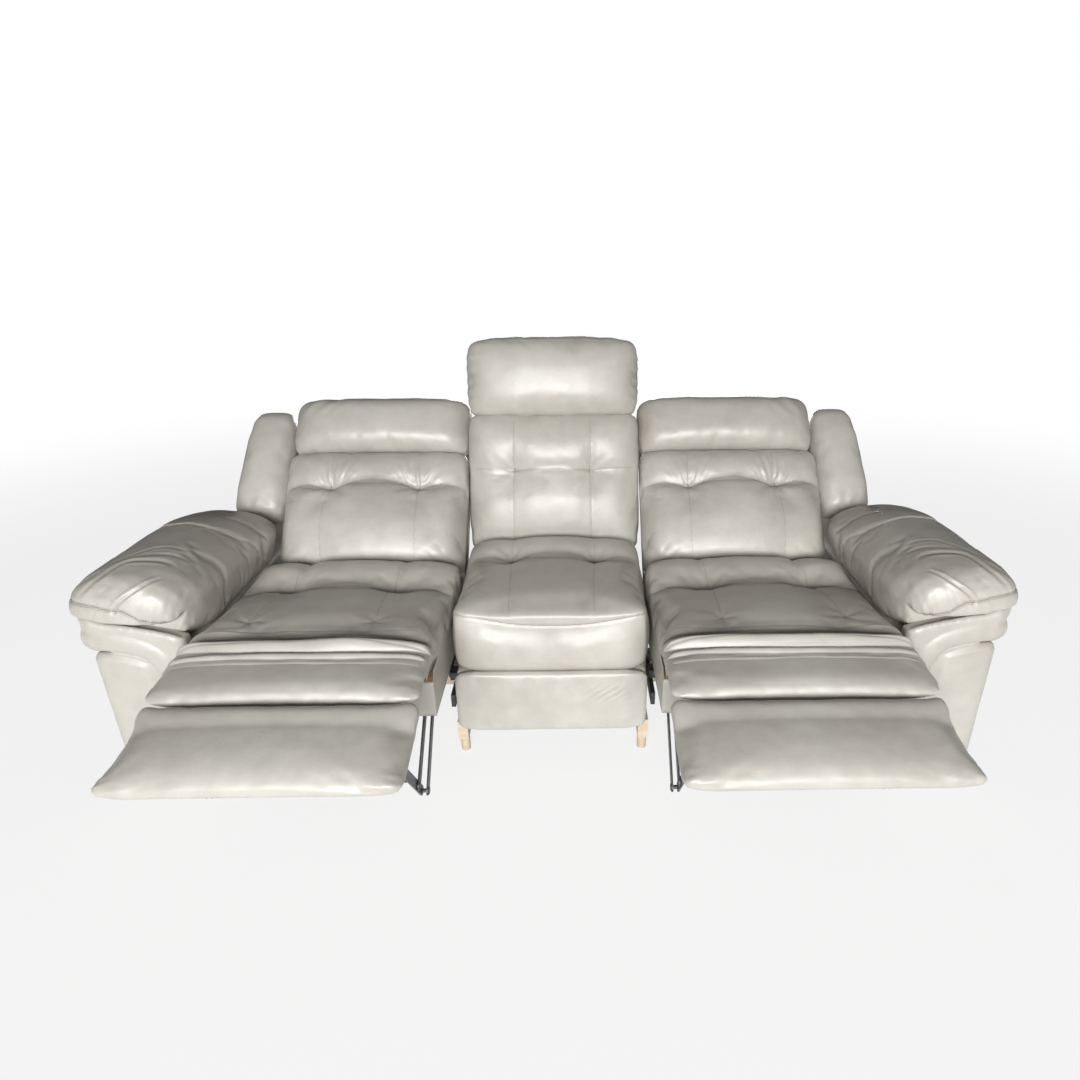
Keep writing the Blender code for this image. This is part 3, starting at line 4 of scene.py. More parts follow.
import bmesh
import bpy
import numpy as np
from mathutils import Matrix, Vector
from mathutils.bvhtree import BVHTree
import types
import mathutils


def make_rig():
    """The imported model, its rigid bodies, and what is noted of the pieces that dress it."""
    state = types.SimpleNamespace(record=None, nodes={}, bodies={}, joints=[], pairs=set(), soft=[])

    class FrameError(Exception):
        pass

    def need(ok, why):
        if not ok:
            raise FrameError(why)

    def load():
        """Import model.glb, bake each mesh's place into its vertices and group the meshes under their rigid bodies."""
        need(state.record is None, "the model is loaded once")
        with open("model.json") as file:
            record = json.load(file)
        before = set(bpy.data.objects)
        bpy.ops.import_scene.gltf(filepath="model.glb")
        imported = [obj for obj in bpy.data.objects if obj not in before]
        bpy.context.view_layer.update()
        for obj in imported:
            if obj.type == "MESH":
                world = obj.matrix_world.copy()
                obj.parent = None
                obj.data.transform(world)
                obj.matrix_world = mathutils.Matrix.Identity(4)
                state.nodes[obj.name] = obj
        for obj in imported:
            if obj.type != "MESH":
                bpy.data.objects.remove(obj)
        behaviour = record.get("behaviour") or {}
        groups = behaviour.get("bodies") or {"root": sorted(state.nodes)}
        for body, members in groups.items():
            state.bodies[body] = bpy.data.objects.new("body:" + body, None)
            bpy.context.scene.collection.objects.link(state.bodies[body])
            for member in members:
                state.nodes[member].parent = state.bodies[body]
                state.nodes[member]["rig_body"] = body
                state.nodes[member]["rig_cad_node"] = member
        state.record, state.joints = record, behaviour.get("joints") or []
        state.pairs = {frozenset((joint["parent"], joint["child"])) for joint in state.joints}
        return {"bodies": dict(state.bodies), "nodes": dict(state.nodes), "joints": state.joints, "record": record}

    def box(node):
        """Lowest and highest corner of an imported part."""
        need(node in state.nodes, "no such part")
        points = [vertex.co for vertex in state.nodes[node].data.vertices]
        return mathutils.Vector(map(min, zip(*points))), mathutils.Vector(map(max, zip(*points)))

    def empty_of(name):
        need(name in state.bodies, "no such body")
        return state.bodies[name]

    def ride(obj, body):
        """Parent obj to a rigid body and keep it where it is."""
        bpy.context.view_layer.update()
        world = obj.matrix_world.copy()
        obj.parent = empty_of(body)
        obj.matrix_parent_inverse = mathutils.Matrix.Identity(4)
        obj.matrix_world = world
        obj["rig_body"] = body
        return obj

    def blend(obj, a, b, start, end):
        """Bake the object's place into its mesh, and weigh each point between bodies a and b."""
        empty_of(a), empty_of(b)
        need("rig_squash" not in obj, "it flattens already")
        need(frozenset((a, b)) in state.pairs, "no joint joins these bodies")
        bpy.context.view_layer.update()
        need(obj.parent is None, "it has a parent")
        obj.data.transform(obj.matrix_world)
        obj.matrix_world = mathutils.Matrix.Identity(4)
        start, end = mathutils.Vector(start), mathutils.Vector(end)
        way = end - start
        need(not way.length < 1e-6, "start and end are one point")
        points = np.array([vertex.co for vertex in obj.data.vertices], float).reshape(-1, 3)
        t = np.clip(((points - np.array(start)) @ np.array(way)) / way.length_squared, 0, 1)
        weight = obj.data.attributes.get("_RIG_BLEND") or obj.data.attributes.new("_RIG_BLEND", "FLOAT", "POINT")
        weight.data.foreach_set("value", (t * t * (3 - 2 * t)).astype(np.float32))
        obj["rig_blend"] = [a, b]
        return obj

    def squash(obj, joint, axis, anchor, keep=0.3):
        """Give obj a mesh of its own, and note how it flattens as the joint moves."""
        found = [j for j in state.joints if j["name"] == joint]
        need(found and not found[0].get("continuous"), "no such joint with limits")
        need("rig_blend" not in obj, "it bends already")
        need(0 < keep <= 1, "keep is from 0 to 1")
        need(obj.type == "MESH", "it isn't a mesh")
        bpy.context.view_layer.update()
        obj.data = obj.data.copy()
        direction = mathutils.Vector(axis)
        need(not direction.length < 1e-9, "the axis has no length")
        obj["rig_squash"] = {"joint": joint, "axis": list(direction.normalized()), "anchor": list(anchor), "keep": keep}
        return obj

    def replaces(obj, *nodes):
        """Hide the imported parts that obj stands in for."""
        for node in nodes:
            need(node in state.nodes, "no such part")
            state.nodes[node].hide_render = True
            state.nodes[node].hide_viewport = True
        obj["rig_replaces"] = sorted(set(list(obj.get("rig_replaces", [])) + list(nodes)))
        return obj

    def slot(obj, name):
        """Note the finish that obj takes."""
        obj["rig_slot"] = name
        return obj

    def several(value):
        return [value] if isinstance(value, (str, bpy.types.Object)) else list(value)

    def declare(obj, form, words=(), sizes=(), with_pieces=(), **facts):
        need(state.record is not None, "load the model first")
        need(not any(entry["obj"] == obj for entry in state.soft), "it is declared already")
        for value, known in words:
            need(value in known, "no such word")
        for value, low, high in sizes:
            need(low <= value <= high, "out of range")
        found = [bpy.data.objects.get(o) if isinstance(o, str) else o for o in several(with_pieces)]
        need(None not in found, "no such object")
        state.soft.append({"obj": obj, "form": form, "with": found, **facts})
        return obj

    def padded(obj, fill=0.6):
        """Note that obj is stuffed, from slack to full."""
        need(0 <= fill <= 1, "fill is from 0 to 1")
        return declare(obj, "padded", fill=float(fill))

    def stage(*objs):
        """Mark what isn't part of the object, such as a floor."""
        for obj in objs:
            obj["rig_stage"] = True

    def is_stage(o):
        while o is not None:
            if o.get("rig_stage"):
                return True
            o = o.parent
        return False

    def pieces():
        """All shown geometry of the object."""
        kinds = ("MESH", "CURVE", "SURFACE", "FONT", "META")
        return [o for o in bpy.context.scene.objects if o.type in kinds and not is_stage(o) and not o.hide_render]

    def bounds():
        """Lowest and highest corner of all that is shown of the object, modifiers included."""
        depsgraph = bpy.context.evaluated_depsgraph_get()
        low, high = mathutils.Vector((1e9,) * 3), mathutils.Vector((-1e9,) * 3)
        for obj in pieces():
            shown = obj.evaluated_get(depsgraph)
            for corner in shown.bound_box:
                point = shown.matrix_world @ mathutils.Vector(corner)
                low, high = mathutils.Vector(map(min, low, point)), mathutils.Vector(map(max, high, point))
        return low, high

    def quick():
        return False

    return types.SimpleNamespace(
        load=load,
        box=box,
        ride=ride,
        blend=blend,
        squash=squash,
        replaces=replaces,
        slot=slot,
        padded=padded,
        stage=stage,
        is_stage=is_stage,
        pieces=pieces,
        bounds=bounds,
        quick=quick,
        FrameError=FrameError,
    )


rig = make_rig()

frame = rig.load()
cadLow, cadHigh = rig.bounds()
scene = bpy.context.scene
print("frame loaded")

# camera, floor and light

camera = {"lens": 23.26, "sensor": 36, "shift": (-0.0417, 0.0115), "farthest": 100,
          "place": (0.068, -1.7444, 1.323), "pitch": 23.75, "yaw": 0.84, "roll": -0.21}


def makeCamera(look):
    pitch, yaw, roll = (math.radians(look[k]) for k in ("pitch", "yaw", "roll"))
    ahead = Vector((math.sin(yaw) * math.cos(pitch), math.cos(yaw) * math.cos(pitch), -math.sin(pitch)))
    side = Vector((math.cos(yaw), -math.sin(yaw), 0))
    up = side.cross(ahead)
    rolledSide = side * math.cos(roll) + up * math.sin(roll)
    rolledUp = up * math.cos(roll) - side * math.sin(roll)
    data = bpy.data.cameras.new("camera")
    data.lens = look["lens"]
    data.sensor_width = look["sensor"]
    data.shift_x, data.shift_y = look["shift"]
    data.clip_end = look["farthest"]
    obj = bpy.data.objects.new("camera", data)
    scene.collection.objects.link(obj)
    obj.matrix_world = Matrix([*zip(rolledSide, rolledUp, -ahead, look["place"]), (0, 0, 0, 1)])
    scene.camera = obj


makeCamera(camera)
scene.view_settings.view_transform = "Standard"

floor = {"radius": 7.0, "rings": 48, "fade": (2.4, 5.5), "tone": (0.86, 0.86, 0.86), "glow": 0.78,
         "rough": 0.9, "shine": 0.1}
sky = {"tone": (1.0, 0.955, 0.90), "strength": 0.065}
lamps = [
    {"name": "window", "place": (-0.2, -7.0, 2.4), "aim": (0, 0.1, 0.5), "size": (5.1, 2.4), "power": 740},
    {"name": "ceiling", "place": (0, -0.2, 3.6), "aim": (0, 0.2, 0.4), "size": (3.0, 2.4), "power": 4},
    {"name": "backFill", "place": (0.6, 5.6, 0.8), "aim": (0, 0.2, 0.5), "size": (3.4, 1.3), "power": 170},
]


def newMaterial(name):
    made = bpy.data.materials.new(name)
    made.use_nodes = True
    return made, made.node_tree, made.node_tree.nodes["Principled BSDF"]


def feed(tree, node, inputs):  # gives each input its value, or the socket it is wired to
    for key, value in inputs.items():
        if isinstance(value, bpy.types.NodeSocket):
            tree.links.new(value, node.inputs[key])
        else:
            node.inputs[key].default_value = value


def addNode(tree, kind, inputs=None, **settings):
    node = tree.nodes.new("ShaderNode" + kind)
    for key, value in settings.items():
        setattr(node, key, value)
    feed(tree, node, inputs or {})
    return node


def makeFloor(look):
    bm = bmesh.new()
    bmesh.ops.create_circle(bm, cap_ends=True, radius=look["radius"], segments=look["rings"])
    mesh = bpy.data.meshes.new("floor")
    bm.to_mesh(mesh)
    bm.free()
    obj = bpy.data.objects.new("floor", mesh)
    scene.collection.objects.link(obj)
    made, tree, shader = newMaterial("paleFloor")
    feed(tree, shader, {"Base Color": (*look["tone"], 1), "Roughness": look["rough"],
                        "Specular IOR Level": look["shine"]})
    ray = addNode(tree, "LightPath").outputs
    seen = addNode(tree, "Math", {0: ray["Is Camera Ray"], 1: ray["Is Glossy Ray"]}, operation="MAXIMUM")
    share = addNode(tree, "Math", {0: seen.outputs[0], 1: look["glow"]}, operation="MULTIPLY")
    glow = addNode(tree, "Emission")
    lit = addNode(tree, "MixShader", {0: share.outputs[0], 1: shader.outputs[0], 2: glow.outputs[0]})
    place = addNode(tree, "NewGeometry").outputs["Position"]
    away = addNode(tree, "VectorMath", {0: place}, operation="LENGTH").outputs["Value"]
    near, far = look["fade"]
    fade = addNode(tree, "MapRange", {"Value": away, "From Min": near, "From Max": far},
                   interpolation_type="SMOOTHSTEP")
    clear = addNode(tree, "BsdfTransparent")
    faded = addNode(tree, "MixShader", {0: fade.outputs[0], 1: lit.outputs[0], 2: clear.outputs[0]})
    feed(tree, tree.nodes["Material Output"], {"Surface": faded.outputs[0]})
    mesh.materials.append(made)
    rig.stage(obj)


def makeSky(look):
    world = bpy.data.worlds.new("studio")
    world.use_nodes = True
    scene.world = world
    tree = world.node_tree
    soft = tree.nodes["Background"]
    feed(tree, soft, {"Color": (*look["tone"], 1), "Strength": look["strength"]})
    white = addNode(tree, "Background", {"Color": (1, 1, 1, 1)})
    ray = addNode(tree, "LightPath").outputs["Is Camera Ray"]
    mix = addNode(tree, "MixShader", {0: ray, 1: soft.outputs[0], 2: white.outputs[0]})
    feed(tree, tree.nodes["World Output"], {"Surface": mix.outputs[0]})


def makeLamp(look):
    data = bpy.data.lights.new(look["name"], "AREA")
    data.shape = "RECTANGLE"
    data.size, data.size_y = look["size"]
    data.energy = look["power"]
    obj = bpy.data.objects.new(look["name"], data)
    scene.collection.objects.link(obj)
    obj.location = look["place"]
    obj.rotation_euler = (Vector(look["aim"]) - Vector(look["place"])).to_track_quat("-Z", "Y").to_euler()


makeFloor(floor)
makeSky(sky)
for lamp in lamps:
    makeLamp(lamp)
print("camera, floor and lamps placed")

# materials: a bump is its strength and its distance

# the dark crease tone is painted shade: it darkens seams, tufts and creases where shade falls in them
leather = {"light": (0.50, 0.482, 0.436), "dark": (0.43, 0.407, 0.362), "crease": (0.17, 0.145, 0.12),
           "blotch": {"Scale": 3.1, "Detail": 4.0, "Roughness": 0.55},
           "cloud": {"Scale": 24.0, "Detail": 5.0, "Roughness": 0.6},
           "pore": {"Scale": 190.0, "Detail": 3.0},
           "hair": {"Scale": 46.0, "Detail": 6.0, "Roughness": 0.62, "Distortion": 1.4},
           "pebble": {"Scale": 560.0, "Randomness": 0.9},
           "blotchRange": (0.36, 0.64), "cloudRange": (0.3, 0.7), "mottle": (0.94, 1.05), "rough": (0.35, 0.46),
           "hairBump": (0.35, 0.0012), "poreBump": (0.3, 0.0004), "pebbleBump": (0.35, 0.0003),
           "finish": {"Specular IOR Level": 0.62, "Coat Weight": 0.2, "Coat Roughness": 0.32}}
grain = {"stretch": (0.14, 1.0, 1.0), "rings": {"Detail": 6.0, "Roughness": 0.65, "Distortion": 0.8},
         "fibre": {"Scale": 240.0, "Detail": 3.0}, "ramp": (0.36, 0.62), "rough": 0.7, "bump": (0.3, 0.0006)}
timber = {"pineWood": {"light": (0.60, 0.43, 0.26), "dark": (0.42, 0.27, 0.14), "rings": 34.0},
          "baseWood": {"light": (0.66, 0.56, 0.42), "dark": (0.55, 0.44, 0.31), "rings": 30.0}}
coating = {"wear": {"Scale": 60.0, "Detail": 5.0, "Roughness": 0.7}, "wearRange": (0.3, 0.7),
           "ramp": (0.5, 0.78), "roughSpread": (0.06, 0.08), "peelDetail": 2.0, "bump": (0.25, 0.0002)}
coats = {"blackSteel": {"tone": (0.035, 0.036, 0.04), "chip": (0.12, 0.12, 0.13), "rough": 0.42, "peel": 700.0},
         "blackPlastic": {"tone": (0.02, 0.02, 0.021), "rough": 0.5, "peel": 1400.0},
         "paleThread": {"tone": (0.66, 0.63, 0.57), "rough": 0.7, "peel": 2400.0},
         "darkThread": {"tone": (0.22, 0.195, 0.17), "rough": 0.7, "peel": 2400.0}}


def texture(tree, place, values, kind="Noise", output="Fac"):
    return addNode(tree, "Tex" + kind, {"Vector": place, **values}).outputs[output]


def ranged(tree, value, source, target=(0.0, 1.0)):  # carries a value from one range to another
    inputs = {"From Min": source[0], "From Max": source[1], "To Min": target[0], "To Max": target[1]}
    return addNode(tree, "MapRange", {"Value": value, **inputs}).outputs[0]


def mixed(tree, share, low, high):
    return addNode(tree, "Mix", {0: share, 6: low, 7: high}, data_type="RGBA").outputs[2]


def ramped(tree, share, places, tones):
    ramp = addNode(tree, "ValToRGB", {0: share})
    for element, place, tone in zip(ramp.color_ramp.elements, places, tones):
        element.position = place
        element.color = (*tone, 1)
    return ramp.outputs[0]


def bumped(tree, height, look, under=None):
    inputs = {"Height": height, "Strength": look[0], "Distance": look[1]}
    if under is not None:
        inputs["Normal"] = under
    return addNode(tree, "Bump", inputs).outputs[0]


def leatherMaterial(name, look):
    made, tree, shader = newMaterial(name)
    place = addNode(tree, "TexCoord").outputs["Object"]
    blotch, cloud, pore, hair = (texture(tree, place, look[key]) for key in ("blotch", "cloud", "pore", "hair"))
    pebble = texture(tree, place, look["pebble"], "Voronoi", "Distance")
    ground = mixed(tree, ranged(tree, blotch, look["blotchRange"]), (*look["dark"], 1), (*look["light"], 1))
    mottle = ranged(tree, cloud, look["cloudRange"], look["mottle"])
    scaled = addNode(tree, "VectorMath", {0: ground, "Scale": mottle}, operation="SCALE").outputs[0]
    # painted shade: a mesh attribute from 0 to 1 mixes the leather colour towards the dark crease tone in seams, tufts
    # and creases
    crease = addNode(tree, "Attribute", attribute_name="crease").outputs["Fac"]
    normal = bumped(tree, hair, look["hairBump"])
    normal = bumped(tree, pore, look["poreBump"], normal)
    normal = bumped(tree, pebble, look["pebbleBump"], normal)
    feed(tree, shader, {"Base Color": mixed(tree, crease, scaled, (*look["crease"], 1)),
                        "Roughness": ranged(tree, cloud, look["cloudRange"], look["rough"]),
                        "Normal": normal, **look["finish"]})
    return made


def timberMaterial(name, look):
    made, tree, shader = newMaterial(name)
    place = addNode(tree, "TexCoord").outputs["Object"]
    along = addNode(tree, "Mapping", {"Vector": place, "Scale": grain["stretch"]}).outputs[0]
    rings = texture(tree, along, {"Scale": look["rings"], **grain["rings"]})
    fibre = texture(tree, along, grain["fibre"])
    feed(tree, shader, {"Base Color": ramped(tree, rings, grain["ramp"], (look["dark"], look["light"])),
                        "Roughness": grain["rough"], "Normal": bumped(tree, fibre, grain["bump"])})
    return made


def coatedMaterial(name, look):
    made, tree, shader = newMaterial(name)
    place = addNode(tree, "TexCoord").outputs["Object"]
    wear = texture(tree, place, coating["wear"])
    peel = texture(tree, place, {"Scale": look["peel"], "Detail": coating["peelDetail"]})
    less, more = coating["roughSpread"]
    rough = ranged(tree, wear, coating["wearRange"], (look["rough"] - less, look["rough"] + more))
    tones = (look["tone"], look.get("chip", look["tone"]))
    feed(tree, shader, {"Base Color": ramped(tree, wear, coating["ramp"], tones), "Roughness": rough,
                        "Normal": bumped(tree, peel, coating["bump"])})
    return made


greyLeather = leatherMaterial("greyLeather", leather)
pineWood, baseWood = (timberMaterial(name, look) for name, look in timber.items())
blackSteel, blackPlastic, paleThread, darkThread = (coatedMaterial(name, look) for name, look in coats.items())

for name, obj in frame["nodes"].items():
    if any(word in name for word in ("track", "carriage", "bracket", "link")):
        chosen = blackSteel
    elif name.endswith("foot") or "lever" in name:
        chosen = blackPlastic
    elif name == "base_frame":
        chosen = baseWood
    elif name.endswith(("frame", "deck", "board")):
        chosen = pineWood
    else:
        chosen = greyLeather
    obj.data.materials.clear()
    obj.data.materials.append(chosen)
print("materials made")

# tools for padded pieces

latticeSize = 32
lattice = np.random.default_rng(11).uniform(-1, 1, (latticeSize, latticeSize, latticeSize))
seedStep = np.array([13.7, 5.1, 9.3])
remeshing = {"weld": 2e-5, "flat": 0.7, "ease": 0.5}


def ripple(points, seed=0):  # smooth noise from -1 to 1
    p = points + seedStep * (seed + 1)
    cell = np.floor(p).astype(int)
    part = p - cell
    part = part * part * (3 - 2 * part)
    total = 0
    for dx in (0, 1):
        for dy in (0, 1):
            for dz in (0, 1):
                weight = abs(1 - dx - part[:, 0]) * abs(1 - dy - part[:, 1]) * abs(1 - dz - part[:, 2])
                i, j, k = ((cell + (dx, dy, dz)) % latticeSize).T
                total = total + weight * lattice[i, j, k]
    return total


def smooth(value, low, high):
    t = np.clip((value - low) / (high - low), 0, 1)
    return t * t * (3 - 2 * t)


def bell(value, centre, width):
    return np.exp(-((value - centre) / width) ** 2)


def spot(u, v, centre, size):  # a bell in both directions of a face
    return np.exp(-(((u - centre[0]) / size[0]) ** 2 + ((v - centre[1]) / size[1]) ** 2))


def pointsOf(mesh):
    co = np.zeros(len(mesh.vertices) * 3)
    mesh.vertices.foreach_get("co", co)
    return co.reshape(-1, 3)


def normalsOf(mesh):
    normal = np.zeros(len(mesh.vertices) * 3)
    mesh.vertex_normals.foreach_get("vector", normal)
    return normal.reshape(-1, 3)


def setPoints(mesh, co):
    mesh.vertices.foreach_set("co", co.astype(np.float32).ravel())
    mesh.update()


def bake(obj):  # puts the result of the modifiers into the mesh
    graph = bpy.context.evaluated_depsgraph_get()
    mesh = bpy.data.meshes.new_from_object(obj.evaluated_get(graph))
    old = obj.data
    obj.modifiers.clear()
    obj.data = mesh
    mesh.name = obj.name
    bpy.data.meshes.remove(old)


def eased(obj, rounds, factor=0.5):  # evens out a mesh, once baked
    softener = obj.modifiers.new("softener", "SMOOTH")
    softener.factor = factor
    softener.iterations = rounds


def objectFrom(name, verts, faces, material):
    mesh = bpy.data.meshes.new(name)
    mesh.from_pydata([tuple(v) for v in verts], [], faces)
    mesh.update()
    obj = bpy.data.objects.new(name, mesh)
    scene.collection.objects.link(obj)
    mesh.materials.append(material)
    mesh.shade_smooth()
    return obj


def startForm(name, node, voxel, softening):
    bm = bmesh.new()
    bm.from_mesh(frame["nodes"][node].data)
    bmesh.ops.remove_doubles(bm, verts=bm.verts, dist=remeshing["weld"])
    flat = remeshing["flat"]
    bmesh.ops.join_triangles(bm, faces=bm.faces, angle_face_threshold=flat, angle_shape_threshold=flat)
    mesh = bpy.data.meshes.new(name)
    bm.to_mesh(mesh)
    bm.free()
    obj = bpy.data.objects.new(name, mesh)
    scene.collection.objects.link(obj)
    mesher = obj.modifiers.new("mesher", "REMESH")
    mesher.mode = "VOXEL"
    mesher.voxel_size = voxel
    eased(obj, softening, remeshing["ease"])
    bake(obj)
    return obj


def leanAxes(lean):  # direction up the piece, and direction out of its face
    a = math.radians(lean)
    return np.array([0, math.cos(a), math.sin(a)]), np.array([0, -math.sin(a), math.cos(a)])


def frameOf(node, lean):  # the CAD solid's extent along its own directions
    up, out = leanAxes(lean)
    co = pointsOf(frame["nodes"][node].data)
    sides = (("x", co[:, 0]), ("b", co @ up), ("c", co @ out))
    return {"up": up, "out": out, **{key: (values.min(), values.max()) for key, values in sides}}


def addCloth(obj, held, slack):
    group = obj.vertex_groups.new(name="held")
    group.add([int(i) for i in np.nonzero(held)[0]], 1.0, "REPLACE")
    cloth = obj.modifiers.new("cloth", "CLOTH")
    settings = cloth.settings
    settings.quality = clothing["quality"]
    settings.mass = clothing["mass"]
    settings.tension_stiffness = settings.compression_stiffness = clothing["stiffness"]
    settings.shear_stiffness = clothing["shear"]
    settings.bending_stiffness = clothing["bending"]
    settings.use_pressure = True
    settings.uniform_pressure_force = clothing["pressure"]
    settings.shrink_min = -slack
    settings.vertex_group_mass = "held"
    settings.effector_weights.gravity = 0
    cloth.collision_settings.use_collision = False
    cloth.collision_settings.use_self_collision = False
    cloth.point_cache.frame_start = 1
    cloth.point_cache.frame_end = clothing["frames"]


def lineDistance(co, line):  # distance to a line of points in space, how far along it, and its length
    best = np.full(len(co), 1e9)
    along = np.zeros(len(co))
    start = 0.0
    for a, b in zip(line[:-1], line[1:]):
        step = b - a
        length = float(np.linalg.norm(step))
        if length < 1e-9:
            continue
        t = np.clip(((co - a) @ step) / length ** 2, 0, 1)
        d = np.linalg.norm(co - a - t[:, None] * step, axis=1)
        closer = d < best
        best = np.where(closer, d, best)
        along = np.where(closer, start + t * length, along)
        start += length
    return best, along, start


def dense(points, step=0.006):  # a smooth line through a few points
    p = np.array(points, float)
    if len(p) == 2:
        count = max(2, int(np.linalg.norm(p[1] - p[0]) / step))
        return p[0] + np.linspace(0, 1, count)[:, None] * (p[1] - p[0])
    ext = np.vstack([2 * p[0] - p[1], p, 2 * p[-1] - p[-2]])
    out = []
    for a, b, c, d in zip(ext, ext[1:], ext[2:], ext[3:]):
        count = max(2, int(np.linalg.norm(c - b) / step))
        for t in np.linspace(0, 1, count, endpoint=False):
            bend = (2 * a - 5 * b + 4 * c - d) * t * t
            out.append(0.5 * (2 * b + (c - a) * t + bend + (3 * b - a - 3 * c + d) * t ** 3))
    out.append(p[-1])
    return np.array(out)


def treeOf(obj, co=None):
    places = [v.co for v in obj.data.vertices] if co is None else [Vector(p) for p in co]
    return BVHTree.FromPolygons(places, [list(p.vertices) for p in obj.data.polygons])


def onFace(form, shares, step=0.01, above=0.08):  # share points on a leaned face, thrown onto its surface
    box, tree = form["box"], form["tree"]
    made = []
    for u, v in dense(shares, step):
        x = box["x"][0] + u * (box["x"][1] - box["x"][0])
        b = box["b"][0] + v * (box["b"][1] - box["b"][0])
        start = np.array([x, 0, 0]) + box["up"] * b + box["out"] * (box["c"][1] + above)
        hit = tree.ray_cast(Vector(start), Vector(-box["out"]))
        if hit[0] is not None:
            made.append(np.array(hit[0]))
    return np.array(made)


def onePlace(form, at):
    return onFace(form, [at, (at[0] + 0.001, at[1])])[0]


def onSkin(form, points):  # points in space, drawn to the nearest place on the surface
    return np.array([np.array(form["tree"].find_nearest(Vector(p))[0]) for p in dense(points)])


# u and v are shares of the width and the height, and "outer" is u counted from the sofa's middle outwards
def openForm(obj, node, lean, side):
    box = frameOf(node, lean)
    co, normal = pointsOf(obj.data), normalsOf(obj.data)
    u = (co[:, 0] - box["x"][0]) / (box["x"][1] - box["x"][0])
    v = (co @ box["up"] - box["b"][0]) / (box["b"][1] - box["b"][0])
    # the last entry holds painted shade, from 0 to 1, for seams, tufts and creases
    return {"obj": obj, "box": box, "co": co, "normal": normal, "tree": treeOf(obj), "u": u, "v": v,
            "outer": u if side == "right" else 1 - u, "facing": smooth(normal @ box["out"], 0.05, 0.45),
            "push": np.zeros(len(co)), "crease": np.zeros(len(co))}


# paints shade into the colour: darker where shade falls in seams, tufts and creases
def paintShade(form, values):
    form["crease"] = np.maximum(form["crease"], values)


def drift(form, across, along, seed, u=None):  # smooth noise with so many beats across a face and up it
    u = form["u"] if u is None else u
    return ripple(np.stack([u * across, form["v"] * along, u * 0], 1), seed)


def wave(form, phase, size, seed, wander=2):  # a sine that wanders over the surface
    return np.sin(phase + wander * ripple(form["co"] / size, seed))


# a sewn groove, with gathers to both sides of it and the leather swollen further away
def addSeam(form, line, depth=0.003, width=0.006, pucker=0.0008, step=0.022, reach=0.018, mark=0.35,
            markWide=0.6, swell=0.0, swellFrom=0.06, wander=(2.2, 0.03), uneven=(0.6, 0.4, 0.05), seed=0):
    d, s, _ = lineDistance(form["co"], line)
    form["push"] += swell * (smooth(d, 0, swellFrom) - 0.5) * form["facing"]
    form["push"] -= depth * np.exp(-(d / width) ** 2)
    phase = 2 * math.pi * s / step + wander[0] * ripple(form["co"] / wander[1], seed + 3)
    gathers = np.sin(phase) * (uneven[0] + uneven[1] * ripple(form["co"] / uneven[2], seed + 5))
    form["push"] += pucker * gathers * np.exp(-(d / reach) ** 2) * (1 - np.exp(-(d / width) ** 2))
    # painted shade along the groove
    paintShade(form, mark * np.exp(-(d / (markWide * width)) ** 2))


# a sewn line, pulled in hardest at its tufts
def addPull(form, line, tufts, deep, shallow, spread=0.020, near=0.07, mark=(0.12, 0.3), markWidth=0.004):
    d = lineDistance(form["co"], line)[0]
    share = np.zeros(len(d))
    for at in tufts:
        share = np.maximum(share, np.exp(-(np.linalg.norm(form["co"] - at, axis=1) / near) ** 2))
    form["push"] -= (shallow + (deep - shallow) * share) * np.exp(-d / spread) * form["facing"]
    # painted shade along the sewn line, darkest at the tufts
    paintShade(form, (mark[0] + mark[1] * share) * np.exp(-(d / markWidth) ** 2))


# a crown between two shares of the height
def addBulge(form, low, high, height, peak=0.5, sides=0.10, blunt=0.8):
    t = np.clip((form["v"] - low) / (high - low), 0, 1) ** (math.log(0.5) / math.log(peak))
    across = smooth(form["u"], -0.02, sides) * smooth(1 - form["u"], -0.02, sides)
    form["push"] += height * np.sin(math.pi * t) ** blunt * across * form["facing"]


# a pulled-in point with folds that run out from it
def addTuft(form, at, depth=0.010, size=0.020, rays=7, rayPush=0.0022, reach=0.07, mark=0.6, markSize=0.006,
            wobble=(1.6, 0.03), seed=0):
    away = form["co"] - at
    r = np.linalg.norm(away, axis=1)
    angle = np.arctan2(away @ form["box"]["up"], away[:, 0])
    form["push"] -= depth * np.exp(-r / size) * form["facing"]
    spokes = np.cos(rays * angle + wobble[0] * ripple(away / wobble[1], seed) + seed)
    form["push"] += rayPush * spokes * (r / size) * np.exp(-r / (reach * 0.4)) * form["facing"]
    # painted shade in the pulled-in point
    paintShade(form, mark * np.exp(-(r / markSize) ** 2))


# a pinched line with swollen sides: each rim is so many widths away and so many widths wide
def addCrease(form, line, depth=0.004, width=0.006, rim=0.5, rimAt=2.2, rimWide=1.1, mark=0.3, markWide=0.6,
              uneven=(0.3, 0.04), seed=0):
    d, s, length = lineDistance(form["co"], line)
    taper = np.sin(math.pi * np.clip(s / length, 0.0, 1.0)) ** 0.5
    beat = 1 + uneven[0] * ripple(form["co"] / uneven[1], seed)
    form["push"] -= depth * np.exp(-(d / width) ** 2) * taper * beat
    form["push"] += rim * depth * bell(d, rimAt * width, rimWide * width) * taper * beat
    # painted shade along the pinched line
    paintShade(form, mark * np.exp(-(d / (markWide * width)) ** 2) * taper)


def addGathers(form, amount, at, tall, across, along, seed):  # small gathers along one height of the face
    row = bell(form["v"], at, tall) * form["facing"]
    form["push"] += amount * row * drift(form, across, along, seed)


def addWrinkles(form, amount, size, stretch=(1, 1, 1), mask=1.0, seed=0):
    p = form["co"] / (size * np.array(stretch))
    p = p + 0.6 * ripple(p * 0.5, seed + 9)[:, None]
    sharp = 1 - np.abs(ripple(p, seed)) * 2
    form["push"] += amount * (0.6 * sharp + 0.4 * ripple(p * 2.1, seed + 1)) * mask


